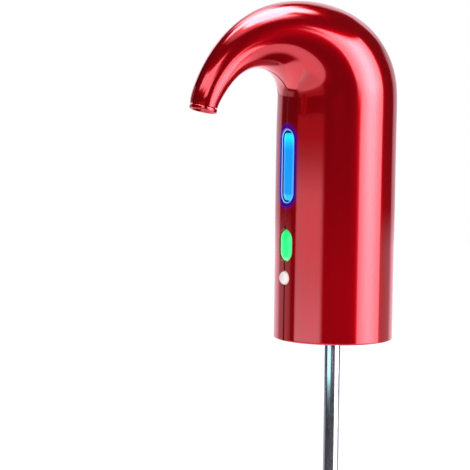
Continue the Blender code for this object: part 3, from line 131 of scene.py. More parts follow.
class AeratorSizes(bpy.types.PropertyGroup):
    """Sizes of the pieces that show."""
    body_radius: length_property("Body radius", "Outer radius of the housing", 29.4)
    height: length_property("Height", "Rim to crown of the housing", 164.1)
    wall: length_property("Wall", "Wall of the moulded halves", 2.2)
    seam_gap: length_property("Seam gap", "Gap between the two halves", 0.3)
    spout_radius: length_property("Spout radius", "Outer radius at the spout's end", 6.5)
    window_width: length_property("Window width", "Width of the light window", 10.4)
    window_length: length_property("Window length", "Length of the light window", 35.7)
    window_height: length_property("Window height", "Centre of the window over the rim", 85.0)
    button_width: length_property("Button width", "Width of the power button", 9.9)
    button_length: length_property("Button length", "Length of the power button", 15.2)
    button_height: length_property("Button height", "Centre of the button over the rim", 46.7)
    lens_radius: length_property("Indicator radius", "Radius of the indicator lens", 3.25)
    lens_height: length_property("Indicator height", "Centre of the indicator over the rim",
                                 30.9)


class AeratorColours(bpy.types.PropertyGroup):
    """Colours that a user would change."""
    lacquer: colour_property("Lacquer", "Tint of the red lacquer on the plated shell", "#AD000F")
    window: colour_property("Window", "Colour of the lit window", "#0A9BFF")
    window_top: colour_property("Window top", "Colour of the lit window's top end", "#12F2FF")
    outline: colour_property("Outline", "Colour of the window's lit edge", "#9FB0FF")
    button: colour_property("Button", "Colour of the lit button", "#22E877")
    indicator: colour_property("Indicator", "Colour of the indicator lens", "#E9DEDE")
    floor: colour_property("Floor", "Colour of the floor", "#F6F6F6")


# ---------------------------------------------------------------- materials

MATH = 'ShaderNodeMath'
MAP_RANGE = 'ShaderNodeMapRange'
NOISE = 'ShaderNodeTexNoise'
IN_COLOUR = {"data_type": 'RGBA'}
SMOOTH = {"interpolation_type": 'SMOOTHSTEP'}


def feed(node, *values, **inputs):
    """Set a node's inputs, or link them where the value is a socket or another node.

    Values go to the inputs in order, i6 means input 6, and a node stands for its first output.
    """
    pairs = list(zip(node.inputs, values))
    for key, value in inputs.items():
        place = int(key[1:]) if key[1:].isdigit() else key.replace("_", " ")
        pairs.append((node.inputs[place], value))
    for socket, value in pairs:
        if isinstance(value, bpy.types.Node):
            value = value.outputs[0]
        if isinstance(value, bpy.types.NodeSocket):
            node.id_data.links.new(value, socket)
        elif socket.type == 'RGBA' and len(value) == 3:
            socket.default_value = (*value, 1.0)
        else:
            socket.default_value = value
    return node


def add(tree, kind, settings=None, *values, **inputs):
    """Add a node with its settings, or the operation that a word names, and feed its inputs."""
    node = tree.nodes.new(kind)
    if isinstance(settings, str):
        settings = {"operation": settings}
    for key, value in (settings or {}).items():
        setattr(node, key, value)
    return feed(node, *values, **inputs)


def set_stops(node, stops):
    """Give a colour ramp its colours, the first at position 0 and the last at 1."""
    elements = node.color_ramp.elements
    for position, _ in stops[1:-1]:
        elements.new(position)
    for element, (_, colour) in zip(elements, stops):
        element.color = (*colour, 1)
    return node


def new_material(name):
    """Return a material with a Principled shader, its tree and the shader."""
    material = bpy.data.materials.new(name)
    material.use_nodes = True
    tree = material.node_tree
    return material, tree, tree.nodes["Principled BSDF"]


def surface(name, low, high, rough, pattern=NOISE, size=0.5, bump=0.01, stretch=(1, 1, 1),
            metallic=0.0, ior=1.5, **fixed):
    """Return a finish: two close colours, a roughness range and a relief of one grain size.

    low and high are hex colours, size is the grain in millimetres and bump its depth. Real
    grains finer than about 0.3 mm are drawn at that size, or they wouldn't show.
    """
    material, tree, shader = new_material(name)
    if not metallic:
        fixed["IOR"] = ior
    place = add(tree, 'ShaderNodeTexCoord').outputs["Object"]
    place = add(tree, 'ShaderNodeMapping', Vector=place,
                Scale=[share / (size * MM) for share in stretch])
    grain = add(tree, pattern, Vector=place, Scale=1.0)
    if pattern == NOISE:
        feed(grain, Detail=3.0, Roughness=0.55)
    tone = add(tree, 'ShaderNodeMix', IN_COLOUR, i0=grain, i6=linear(low), i7=linear(high))
    gloss = add(tree, MAP_RANGE, Value=grain, To_Min=rough[0], To_Max=rough[1])
    relief = add(tree, 'ShaderNodeBump', Height=grain, Distance=bump * MM, Strength=0.6)
    feed(shader, Base_Color=tone.outputs[2], Metallic=metallic, Roughness=gloss, Normal=relief,
         **fixed)
    return material


def lit_lacquer(sizes, colours):
    """Plated ABS under a red-tinted clear lacquer: a soft metal glow with a sharp coat on it.

    The blue window's light on the shell is painted: round the window the lacquer is darkened and
    glows violet, as a violet rim on the shell.
    """
    # The window's painted glow on the shell fades out between these distances from its edge
    glow_inner, glow_outer = 0.6 * MM, 4.2 * MM
    # Where the halves meet, each edge is rounded over by this much, on a radius of half the bend
    seam_round, seam_bend = 0.35 * MM, 1.1 * MM
    # The painted shade of the seam's gap fades out between these distances from the seam
    seam_dark, seam_clear = 0.36 * MM, 0.5 * MM
    # The stretch of the front seam that the window's light reaches
    lit_middle, lit_half = sizes.window_height + 4.5 * MM, 33 * MM

    material, tree, shader = new_material("candy_red_lacquer")
    place = add(tree, 'ShaderNodeTexCoord').outputs["Object"]
    across, depth, up = add(tree, 'ShaderNodeSeparateXYZ', Vector=place).outputs
    # The plating's grain under the lacquer, drawn at 0.25 mm, coarser than it is, to show
    flakes = add(tree, NOISE, Vector=place, Scale=1 / (0.25 * MM), Detail=2.0)
    tint = Vector(colours.lacquer)
    tone = add(tree, 'ShaderNodeMix', IN_COLOUR, i0=flakes, i6=tint * 0.94, i7=tint * 1.06)
    gloss = add(tree, MAP_RANGE, Value=flakes, To_Min=0.17, To_Max=0.23)

    # The painted glow falls off with the distance from the window's outline
    rise = (sizes.window_length - sizes.window_width) / 2
    past = add(tree, MATH, 'SUBTRACT', up, sizes.window_height)
    past = add(tree, MATH, 'SUBTRACT', add(tree, MATH, 'ABSOLUTE', past), rise)
    past = add(tree, MATH, 'MAXIMUM', past, 0.0)
    reach = add(tree, MATH, 'ADD', add(tree, MATH, 'MULTIPLY', past, past),
                add(tree, MATH, 'MULTIPLY', across, across))
    edge = sizes.window_width / 2
    near = add(tree, MAP_RANGE, SMOOTH, Value=add(tree, MATH, 'SQRT', reach),
               From_Min=edge + glow_outer, From_Max=edge + glow_inner)
    front = add(tree, MATH, 'LESS_THAN', depth, -sizes.body_radius / 2)
    glow = add(tree, MATH, 'MULTIPLY', near, front)
    # Under the window's painted glow the lacquer's colour is painted darker, towards violet
    dimmed = add(tree, 'ShaderNodeMix', IN_COLOUR, i0=glow, i6=tone.outputs[2],
                 i7=linear("#10002A"))
    # Colour of the painted glow: blue nearest the window, violet further out
    light = set_stops(add(tree, 'ShaderNodeValToRGB', Fac=glow),
                      [(0.0, (0, 0, 0)), (0.55, linear("#4A0066")), (1.0, linear("#0A0A8C"))])

    off_seam = add(tree, MATH, 'ABSOLUTE', across)
    inward = add(tree, MATH, 'MAXIMUM', add(tree, MATH, 'SUBTRACT', seam_round, off_seam), 0.0)
    sunk = add(tree, MATH, 'MULTIPLY', add(tree, MATH, 'MULTIPLY', inward, inward),
               -1 / seam_bend)
    seam = add(tree, 'ShaderNodeBump', Height=sunk, Distance=1.0, Strength=1.0)
    # The seam's gap gets a painted shade, dark and without its coat, but not along the stretch
    # round the window
    off_window = add(tree, MATH, 'ABSOLUTE', add(tree, MATH, 'SUBTRACT', up, lit_middle))
    lit = add(tree, MATH, 'MULTIPLY', front, add(tree, MATH, 'LESS_THAN', off_window, lit_half))
    seam_shade_fade = add(tree, MAP_RANGE, SMOOTH, Value=off_seam, From_Min=seam_clear,
                    From_Max=seam_dark)
    painted_seam_shade = add(tree, MATH, 'MULTIPLY', seam_shade_fade, add(tree, MATH, 'SUBTRACT', 1.0, lit))
    # The lacquer's colour, with the painted shade of the seam's gap over it
    shade = add(tree, 'ShaderNodeMix', IN_COLOUR, i0=painted_seam_shade, i6=dimmed.outputs[2],
                i7=linear("#1C0004"))
    feed(shader, Base_Color=shade.outputs[2], Metallic=0.66, Roughness=gloss, Normal=seam,
         Specular_IOR_Level=0.0, Specular_Tint=(0.8, 0.1, 0.12),
         Coat_Weight=add(tree, MATH, 'SUBTRACT', 1.0, painted_seam_shade), Coat_Roughness=0.04, Coat_IOR=1.5,
         Coat_Normal=seam, Emission_Color=light, Emission_Strength=1.0)
    return material


def lit_plastic(name, stops, low, span, base, rough=0.25, axis=2, strength=1.0, coat=0.0):
    """Translucent moulding whose glow runs through colours along one axis: light from behind for
    the lit parts, painted glow for the unlit indicator.
    """
    material, tree, shader = new_material(name)
    place = add(tree, 'ShaderNodeTexCoord').outputs["Object"]
    along = add(tree, 'ShaderNodeSeparateXYZ', Vector=place).outputs[axis]
    share = add(tree, MAP_RANGE, Value=along, From_Min=low, From_Max=low + span)
    light = set_stops(add(tree, 'ShaderNodeValToRGB', Fac=share), stops)
    # Mould grain that breaks up the gloss, drawn at 0.3 mm, coarser than it is, to show
    grain = add(tree, NOISE, Vector=place, Scale=1 / (0.3 * MM), Detail=2.0)
    gloss = add(tree, MAP_RANGE, Value=grain, To_Min=rough * 0.8, To_Max=rough * 1.2)
    feed(shader, Base_Color=base, Roughness=gloss, Coat_Weight=coat, Emission_Color=light,
         Emission_Strength=strength)
    return material


def plain_finishes():
    """Return the finishes of the carried-over nodes, by the record's slot."""
    return {
        # Moulded black ABS: a fine spark-eroded grain that greys the highlights
        "black_moulding": surface("moulded_black_abs", "#141415", "#1D1D1F", (0.38, 0.5),
                                  size=0.35, bump=0.02, ior=1.53),
        # Moulded grey ABS, the same grain
        "grey_moulding": surface("moulded_grey_abs", "#55565A", "#606166", (0.42, 0.55),
                                 size=0.35, bump=0.02, ior=1.53),
        # Natural polypropylene: milky, waxy, slightly see-through
        "food_plastic": surface("natural_polypropylene", "#DADCDD", "#E6E8E8", (0.3, 0.4),
                                size=1.2, bump=0.01, ior=1.49, Subsurface_Weight=0.15,
                                Subsurface_Radius=(0.002, 0.002, 0.002)),
        # Cured silicone: matt and slightly dusty
        "seal_silicone": surface("black_silicone", "#1A1A1C", "#242426", (0.55, 0.7),
                                 size=0.6, bump=0.015, ior=1.41, Sheen_Weight=0.1),
        # Drawn stainless tube: fine lines along its length
        "stainless_tube": surface("drawn_stainless", "#B9BABD", "#D2D3D6", (0.16, 0.28),
                                  size=0.3, bump=0.003, stretch=(1, 1, 0.04), metallic=1.0),
        # Zinc-plated steel: bright with a faint bloom
        "screw_steel": surface("zinc_plated_steel", "#A9ABB0", "#C3C5C9", (0.25, 0.38),
                               size=0.8, bump=0.004, metallic=1.0),
        # Nickel-plated motor can: smooth, pulled lines round the can
        "motor_steel": surface("nickel_plated_can", "#B5B2AB", "#CBC8C1", (0.2, 0.32),
                               size=0.4, bump=0.003, stretch=(0.1, 0.1, 1), metallic=1.0),
        # Heat-shrunk PVC sleeve
        "cell_wrap": surface("shrunk_pvc_sleeve", "#2666A8", "#2D70B4", (0.28, 0.4),
                             size=2.0, bump=0.03, ior=1.54),
        # Solder mask over a glass-epoxy board: copper runs show as cells of two greens
        "board_laminate": surface("solder_masked_board", "#0B4A26", "#137038", (0.3, 0.45),
                                  pattern='ShaderNodeTexVoronoi', size=2.5, bump=0.03, ior=1.55),
        # Light packages and their white housing
        "light_parts": surface("white_light_package", "#E9E9DE", "#F4F4EC", (0.3, 0.42),
                               size=0.5, bump=0.01, ior=1.52),
        # Tin-plated small parts
        "switch_metal": surface("tin_plated_steel", "#A5A6AA", "#BCBDC1", (0.24, 0.36),
                                size=0.5, bump=0.003, metallic=1.0),
        # Clear silicone hose
        "hose": surface("clear_silicone_hose", "#E4E6E8", "#EEF0F1", (0.25, 0.35), size=1.0,
                        bump=0.01, ior=1.41, Transmission_Weight=0.6),
    }


FINISH_NAMES = {}


def finish_of(slot):
    """Return the finish of a slot of the record, or None where only new pieces have it."""
    if not FINISH_NAMES:
        for key, material in plain_finishes().items():
            FINISH_NAMES[key] = material.name
    return bpy.data.materials.get(FINISH_NAMES.get(slot, ""))


# ---------------------------------------------------------------- shapes

def in_mm(*points):
    """Return pairs that are given in millimetres as metres."""
    return [(first * MM, second * MM) for first, second in points]


def facing(direction):
    """Return the turn that faces +Z along a direction."""
    return direction.to_track_quat('Z', 'Y').to_matrix().to_4x4()


def add_piece(name, source, finish, body="body", replaces=(), sharp=SHARP):
    """Make a piece of a bmesh or mesh, hang it on its body, and hide the nodes that it replaces.
    """
    if isinstance(source, bmesh.types.BMesh):
        mesh = bpy.data.meshes.new(name)
        source.to_mesh(mesh)
        source.free()
    else:
        mesh = source
        mesh.name = name
    mesh.materials.clear()
    mesh.materials.append(finish)
    if not mesh.has_custom_normals:
        mesh.shade_smooth()
        mesh.set_sharp_from_angle(angle=math.radians(sharp))
    item = bpy.data.objects.new(name, mesh)
    bpy.context.scene.collection.objects.link(item)
    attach(item, body)
    if replaces:
        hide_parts(*replaces)
    return item


def hook_sections(sizes):
    """Return the sections of the hook's smooth curve: y, z, radius and lean."""
    axis = Vector((-math.sin(SPOUT_LEAN), math.cos(SPOUT_LEAN)))
    tip = Vector((-SPOUT_REACH, sizes.height - SPOUT_DROP))
    end = tip - axis * (COLLAR_HEIGHT + FIT_GAP)
    controls = [Vector((0, STRAIGHT_HEIGHT, sizes.body_radius, 0))]
    for reach, drop, girth, lean in HOOK_SECTIONS:
        controls.append(Vector((
            -SPOUT_REACH * reach, sizes.height - SPOUT_DROP * drop,
            sizes.spout_radius + (sizes.body_radius - sizes.spout_radius) * girth,
            math.radians(lean))))
    controls.append(Vector((end.x, end.y, sizes.spout_radius, SPOUT_LEAN)))
    # A mirrored point past each end makes the curve start and end on its own end sections
    controls.insert(0, 2 * controls[0] - controls[1])
    controls.append(2 * controls[-1] - controls[-2])
    sections = []
    spans = len(controls) - 3
    for k in range(HOOK_STEPS * spans + 1):
        span = min(k // HOOK_STEPS, spans - 1)
        t = k / HOOK_STEPS - span
        # The shares of a uniform cubic B-spline
        weights = ((1 - t) ** 3, 3 * t ** 3 - 6 * t ** 2 + 4,
                   -3 * t ** 3 + 3 * t ** 2 + 3 * t + 1, t ** 3)
        total = Vector((0, 0, 0, 0))
        for weight, control in zip(weights, controls[span:span + 4]):
            total += control * weight / sum(weights)
        sections.append(total)
    return sections


def hook_form(sizes):
    """Loft the housing's outer skin from the rim to the spout's end, open at both ends."""
    rows = [Vector((0, 0, sizes.body_radius - RIM_LEDGE, 0))]
    for k in range(RIM_STEPS + 1):
        turn = math.pi / 2 * k / RIM_STEPS
        rows.append(Vector((0, RIM_ROUND * (1 - math.cos(turn)),
                            sizes.body_radius - RIM_ROUND * (1 - math.sin(turn)), 0)))
    # A row just over the rounding keeps its shading off the straight wall
    rows.append(Vector((0, RIM_ROUND + 0.3 * MM, sizes.body_radius, 0)))
    rows += hook_sections(sizes)
    bm = bmesh.new()
    rings = []
    for y, z, radius, lean in rows:
        place = Matrix.Translation((0, y, z)) @ Matrix.Rotation(lean, 4, 'X')
        ring = bmesh.ops.create_circle(bm, segments=SHELL_SIDES, radius=radius, matrix=place)
        rings.append(list({edge for vert in ring["verts"] for edge in vert.link_edges}))
    for ring, following in zip(rings, rings[1:]):
        bmesh.ops.bridge_loops(bm, edges=ring + following)
    bmesh.ops.recalc_face_normals(bm, faces=bm.faces)
    outward = max(bm.faces, key=lambda face: face.calc_center_median().x)
    if outward.normal.x < 0:
        bmesh.ops.reverse_faces(bm, faces=bm.faces)
    return bm


def stadium_stack(width, length, rows, across='X', centre=0.0, sides=ROUND_SIDES,
                  ends='FILL'):
    """Join upright slot outlines into one closed form.

    Each row is (offset, y): how far the outline stands out from the named size, and where
    it lies. across says whether the slot's width or its length runs along X. The first and
    the last outline are filled, or joined to each other into a ring.
    """
    bm = bmesh.new()
    rings = []
    rise = (length - width) / 2
    # The turn by half a step keeps every point off the line where the two round ends part
    turned = Matrix.Rotation(math.pi / 2, 4, 'X') @ Matrix.Rotation(math.pi / sides, 4, 'Z')
    for offset, y in rows:
        ring = bmesh.ops.create_circle(bm, segments=sides, radius=width / 2 + offset,
                                       matrix=turned)
        for vert in ring["verts"]:
            vert.co.z += math.copysign(rise, vert.co.z)
            vert.co.y = y
        rings.append(list({edge for vert in ring["verts"] for edge in vert.link_edges}))
    for ring, following in zip(rings, rings[1:]):
        bmesh.ops.bridge_loops(bm, edges=ring + following)
    if ends == 'JOIN':
        bmesh.ops.bridge_loops(bm, edges=rings[-1] + rings[0])
    else:
        for ring in (rings[0], rings[-1]):
            bmesh.ops.edgeloop_fill(bm, edges=ring)
    if across == 'Z':
        bmesh.ops.rotate(bm, verts=bm.verts, cent=(0, 0, 0),
                         matrix=Matrix.Rotation(math.pi / 2, 3, 'Y'))
    bmesh.ops.translate(bm, verts=bm.verts, vec=(0, 0, centre))
    bmesh.ops.recalc_face_normals(bm, faces=bm.faces)
    return bm


def rounded_mouth(fillet, steps=5):
    """Return the rows of a cutter whose mouth rounds the edge of what it cuts."""
    # The cutter starts clear of the skin and ends past the wall
    rows = [(fillet, -2.0 * MM)]
    for k in range(steps + 1):
        # The round starts at 0.12 of its turn, where it leaves the skin with no thin lip
        turn = math.pi / 2 * (0.12 + 0.88 * k / steps)
        rows.append((fillet * (1 - math.sin(turn)), fillet * (1 - math.cos(turn))))
    rows.append((0.0, CUT_DEPTH))
    return rows


def lay_on_skin(bm, skin, side=-1, flat_from=None, flat_place=0.0):
    """Shift a form that was drawn from y = 0 so that it is measured from the skin.

    What is deeper than flat_from is measured from the plane y = flat_place.
    """
    for vert in bm.verts:
        if flat_from is not None and vert.co.y > flat_from:
            vert.co.y += flat_place
            continue
        start = Vector((vert.co.x, side * RAY_START, vert.co.z))
        hit = skin.ray_cast(start, Vector((0, -side, 0)))
        if hit[0] is None:
            raise RuntimeError("a form doesn't meet the housing's skin")
        vert.co.y = hit[0].y - side * vert.co.y
    bmesh.ops.recalc_face_normals(bm, faces=bm.faces)


def turn_profile(profile, sides=ROUND_SIDES, rounding=0.0, segments=3, closed=True):
    """Spin a profile of (radius, height) points about Z, with its corners rounded first."""
    bm = bmesh.new()
    verts = [bm.verts.new((radius, 0, height)) for radius, height in profile]
    pairs = list(zip(verts, verts[1:])) + ([(verts[-1], verts[0])] if closed else [])
    for pair in pairs:
        bm.edges.new(pair)
    if rounding:
        corners = verts if closed else verts[1:-1]
        bmesh.ops.bevel(bm, geom=corners, offset=rounding, offset_type='OFFSET',
                        segments=segments, profile=0.5, affect='VERTICES', material=-1,
                        clamp_overlap=True)
    bmesh.ops.spin(bm, geom=bm.verts[:] + bm.edges[:], cent=(0, 0, 0), axis=(0, 0, 1),
                   dvec=(0, 0, 0), angle=2 * math.pi, steps=sides, use_merge=True)
    # Points on the axis become one
    bmesh.ops.remove_doubles(bm, verts=bm.verts, dist=0.001 * MM)
    bmesh.ops.recalc_face_normals(bm, faces=bm.faces)
    return bm


def carve(bm, cutters, thickness=0.0):
    """Return the mesh of a bmesh less its cutters, with a wall of a thickness first."""
    collection = bpy.context.scene.collection
    mesh = bpy.data.meshes.new("carved")
    bm.to_mesh(mesh)
    bm.free()
    item = bpy.data.objects.new("carved", mesh)
    collection.objects.link(item)
    if thickness:
        wall = item.modifiers.new("wall", 'SOLIDIFY')
        wall.thickness = thickness
        wall.offset = -1
        wall.use_even_offset = True
    tools = []
    for cutter in cutters:
        tool_mesh = bpy.data.meshes.new("cutter")
        cutter.to_mesh(tool_mesh)
        cutter.free()
        tool = bpy.data.objects.new("cutter", tool_mesh)
        collection.objects.link(tool)
        cut = item.modifiers.new("cut", 'BOOLEAN')
        cut.operation = 'DIFFERENCE'
        cut.solver = 'EXACT'
        cut.object = tool
        tools.append(tool)
    graph = bpy.context.evaluated_depsgraph_get()
    result = bpy.data.meshes.new_from_object(item.evaluated_get(graph))
    for used in [item] + tools:
        used_mesh = used.data
        bpy.data.objects.remove(used, do_unlink=True)
        bpy.data.meshes.remove(used_mesh)
    return result


def smooth_from_skin(mesh, skin_bm, skin):
    """Give the faces on the skin the smooth form's own normals, so that cuts leave no dents."""
    mesh.shade_smooth()
    mesh.set_sharp_from_angle(angle=math.radians(SHARP))
    skin_bm.verts.ensure_lookup_table()
    skin_bm.faces.ensure_lookup_table()
    # A zero normal leaves a corner its own shading
    normals = [(0.0, 0.0, 0.0)] * len(mesh.loops)
    for face in mesh.polygons:
        _, normal, _, distance = skin.find_nearest(face.center)
        if distance > SKIN_REACH or normal.dot(face.normal) < SKIN_LIKENESS:
            continue
        for loop in face.loop_indices:
            place = mesh.vertices[mesh.loops[loop].vertex_index].co
            near, _, index, distance = skin.find_nearest(place)
            if distance > SKIN_REACH:
                continue
            verts = skin_bm.faces[index].verts
            weights = interpolate.poly_3d_calc([vert.co for vert in verts], near)
            total = Vector((0, 0, 0))
            for weight, vert in zip(weights, verts):
                total += vert.normal * weight
            normals[loop] = total.normalized()
    mesh.normals_split_custom_set(normals)


def spout_place(sizes):
    """Return the matrix that puts +Z up the spout's own axis, from its tip."""
    axis = Vector((0, math.sin(SPOUT_LEAN), -math.cos(SPOUT_LEAN)))
    tip = Vector((0, -SPOUT_REACH, sizes.height - SPOUT_DROP))
    return Matrix.Translation(tip) @ facing(axis)


def skin_tree(sizes):
    """Return the outer skin for rays to meet."""
    skin_bm = hook_form(sizes)
    skin = BVHTree.FromBMesh(skin_bm)
    skin_bm.free()
    return skin


def box_form(centre, size, turn=0.0):
    """Return a box of a size round its centre, turned about Z."""
    bm = bmesh.new()
    bmesh.ops.create_cube(bm, size=1.0, matrix=(
        Matrix.Translation(centre) @ Matrix.Rotation(turn, 4, 'Z')
        @ Matrix.Diagonal((*size, 1))))
    return bm


def rod_form(radius, length, place, sides):
    """Return a rod of a length along its own Z, with its middle at a place."""
    bm = bmesh.new()
    bmesh.ops.create_cone(bm, cap_ends=True, segments=sides, radius1=radius, radius2=radius,
                          depth=length, matrix=place)
    return bm


def scene_sizes():
    """Return the sizes and colours that the operators share."""
    return bpy.context.scene.aerator_sizes, bpy.context.scene.aerator_colours


# ---------------------------------------------------------------- operators

class AERATOR_OT_housing(bpy.types.Operator):
    """Build the two glossy housing halves with their rounded openings"""
    bl_idname = "aerator.housing"
    bl_label = "Housing halves"

    def execute(self, context):
        sizes, colours = scene_sizes()
        lacquer = lit_lacquer(sizes, colours)
        skin_bm = hook_form(sizes)
        skin_bm.normal_update()
        skin = BVHTree.FromBMesh(skin_bm)
        for side, name in ((-1, "left"), (1, "right")):
            half = skin_bm.copy()
            bmesh.ops.bisect_plane(
                half, geom=half.verts[:] + half.edges[:] + half.faces[:], dist=0.0001 * MM,
                plane_co=(side * sizes.seam_gap / 2, 0, 0), plane_no=(-side, 0, 0),
                clear_outer=True)
            mesh = carve(half, self.cutters(sizes, skin), sizes.wall)
            smooth_from_skin(mesh, skin_bm, skin)
            add_piece(name + "_shell", mesh, lacquer,
                      replaces=(name + "_housing",))
        skin_bm.free()
        return {'FINISHED'}

    def cutters(self, sizes, skin):
        """Return the forms that cut the window, button, indicator, port and spout mouth."""
        window = stadium_stack(sizes.window_width, sizes.window_length,
                               rounded_mouth(WINDOW_ROUND), centre=sizes.window_height)
        button = stadium_stack(sizes.button_width + 2 * FIT_GAP,
                               sizes.button_length + 2 * FIT_GAP,
                               rounded_mouth(BUTTON_ROUND), centre=sizes.button_height)
        span = 2 * (sizes.lens_radius + FIT_GAP)
        lens = stadium_stack(span, span, rounded_mouth(LENS_ROUND), centre=sizes.lens_height)
        low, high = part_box("charging_port")
        port = stadium_stack(high.z - low.z + 2 * FIT_GAP, high.x - low.x + 2 * FIT_GAP,
                             rounded_mouth(PORT_ROUND), across='Z',
                             centre=(low.z + high.z) / 2)
        for form in (window, button, lens):
            lay_on_skin(form, skin)
        lay_on_skin(port, skin, 1)
        mouth = rod_form(MOUTH_RADIUS, MOUTH_LENGTH, spout_place(sizes), ROUND_SIDES)
        return window, button, lens, port, mouth


class AERATOR_OT_window(bpy.types.Operator):
    """Build the light window: its lit edge, the dark well and the glowing panel"""
    bl_idname = "aerator.window"
    bl_label = "Light window"

    def execute(self, context):
        sizes, colours = scene_sizes()
        low = sizes.window_height - sizes.window_length / 2
        navy = Vector(linear("#04044E"))
        outline = Vector(colours.outline)
        window, top = Vector(colours.window), Vector(colours.window_top)
        half = sizes.window_width / 2
        # Polished acrylic: its rounded rim gathers the light behind it and glows pale
        bead_finish = lit_plastic(
            "lit_acrylic_edge",
            [(0.0, outline), (0.45, outline), (0.75, window.lerp(outline, 0.25)),
             (1.0, window.lerp(outline, 0.15))],
            -half, 2 * half, outline * 0.3, axis=0)
        # Moulded navy ABS, smooth: a dark frame that takes a little of the light
        well_finish = lit_plastic("moulded_navy_abs", [(0.0, navy), (1.0, navy)], low,
                                  sizes.window_length, linear("#050530"), 0.2, strength=0.5)
        # Frosted acrylic over the row of lights: an even blue that turns to cyan at the top
        panel_finish = lit_plastic(
            "frosted_acrylic_panel",
            [(0.0, window.lerp(top, 0.5)), (0.06, window.lerp(top, 0.45)), (0.1, window),
             (0.74, window), (0.84, window.lerp(top, 0.4)), (0.93, top), (0.97, top),
             (1.0, window.lerp(top, 0.6))],
            low + 1.6 * MM, sizes.window_length - 3.5 * MM, linear("#052A66"), 0.15, coat=0.5)
        skin = skin_tree(sizes)

        # Bead: the lens's rounded rim, sunk into the opening's rounded edge
        middle, bead, depth = 0.25 * MM, 0.22 * MM, 0.62 * MM
        rows = []
        for k in range(-2, 9):
            turn = math.pi * k / 6
            rows.append((bead * math.cos(turn) - middle, depth - bead * math.sin(turn)))
        ring = stadium_stack(sizes.window_width, sizes.window_length, rows,
                             centre=sizes.window_height, ends='JOIN')
        lay_on_skin(ring, skin)
        add_piece("window_lit_edge", ring, bead_finish,
                  replaces=("light_window",))

        # Well: a tray whose wall stands behind the opening's edge
        well = stadium_stack(
            sizes.window_width, sizes.window_length,
            in_mm((-0.6, 2.0), (-0.55, 0.9), (-0.05, 0.88), (-0.05, 2.5), (1.6, 2.6), (1.6, 3.4)),
            centre=sizes.window_height)
        lay_on_skin(well, skin)
        add_piece("window_well", well, well_finish)

        # Panel: lies in the tray, and its round ends are cut square at the foot and the head
        panel = stadium_stack(
            sizes.window_width, sizes.window_length,
            in_mm((-3.45, 0.95), (-1.35, 0.98), (-1.05, 1.15), (-1.05, 1.9)),
            centre=sizes.window_height)
        foot, head = low + 1.3 * MM, low + sizes.window_length - 1.9 * MM
        for vert in panel.verts:
            vert.co.z = min(max(vert.co.z, foot), head)
        lay_on_skin(panel, skin)
        panel = add_piece("window_panel", panel, panel_finish)
        # The arch over the window mirrors no light of it
        panel.visible_glossy = False
        return {'FINISHED'}


class AERATOR_OT_button(bpy.types.Operator):
    """Build the lit power button and the indicator lens under it"""
    bl_idname = "aerator.button"
    bl_label = "Button and indicator"

    def execute(self, context):
        sizes, colours = scene_sizes()
        low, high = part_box("power_button")
        green = Vector(colours.button)
        # Green-dyed translucent ABS: lit through, a little paler at its foot
        cap_finish = lit_plastic(
            "translucent_green_abs",
            [(0.0, green.lerp(Vector((1, 1, 1)), 0.25)), (0.16, green), (0.5, green * 1.12),
             (0.85, green), (1.0, green * 0.8)],
            low.z + 1.6 * MM, sizes.button_length, green * 0.3, 0.22, coat=0.15)
        # The crown follows the skin, its edge dips below it, and its flange is flat behind
        crown = low.y + sizes.body_radius + 0.4 * MM
        back = high.y + sizes.body_radius
        rows = [(-offset * MM, crown + depth * MM) for offset, depth in (
            (3.9, 0.0), (3.0, 0.05), (2.1, 0.2), (1.3, 0.45), (0.7, 0.75), (0.3, 1.1),
            (0.15, 1.5))]
        rows += [(-0.15 * MM, back - 0.9 * MM), (1.6 * MM, back - 0.9 * MM), (1.6 * MM, back)]
        cap = stadium_stack(sizes.button_width, sizes.button_length, rows,
                            centre=sizes.button_height)
        lay_on_skin(cap, skin_tree(sizes), flat_from=2 * MM, flat_place=-sizes.body_radius)
        add_piece("power_button_cap", cap, cap_finish, "power_button",
                  ("power_button",), sharp=50.0)

        low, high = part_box("indicator_lens")
        white = Vector(colours.indicator)
        # Moulded polycarbonate: a milky dome with a soft gloss. The lens is unlit; its faint
        # glow, a little brighter at its top and foot, is painted light
        lens_finish = lit_plastic(
            "pale_polycarbonate_dome_painted_glow",
            [(0.0, white * 0.34), (0.5, white * 0.3), (1.0, white * 0.34)],
            low.z, high.z - low.z, white * 0.62, 0.5)
        radius, flange, depth = sizes.lens_radius, (high.z - low.z) / 2, high.y - low.y
        dome = [(radius * share, fall * MM) for share, fall in (
            (0.0, 0.0), (0.3, 0.06), (0.52, 0.24), (0.68, 0.5), (0.82, 0.88), (0.93, 1.4),
            (0.98, 2.0), (1.0, 3.3))]
        dome += [(flange, 3.3 * MM), (flange, 4.2 * MM), (1.6 * MM, 4.2 * MM),
                 (1.6 * MM, depth), (0.0, depth)]
        lens = turn_profile(dome, sides=48, closed=False)
        bmesh.ops.transform(lens, verts=lens.verts, matrix=(
            Matrix.Translation((0, low.y, sizes.lens_height))
            @ Matrix.Rotation(-math.pi / 2, 4, 'X')))
        add_piece("indicator_dome", lens, lens_finish,
                  replaces=("indicator_lens",), sharp=50.0)
        return {'FINISHED'}


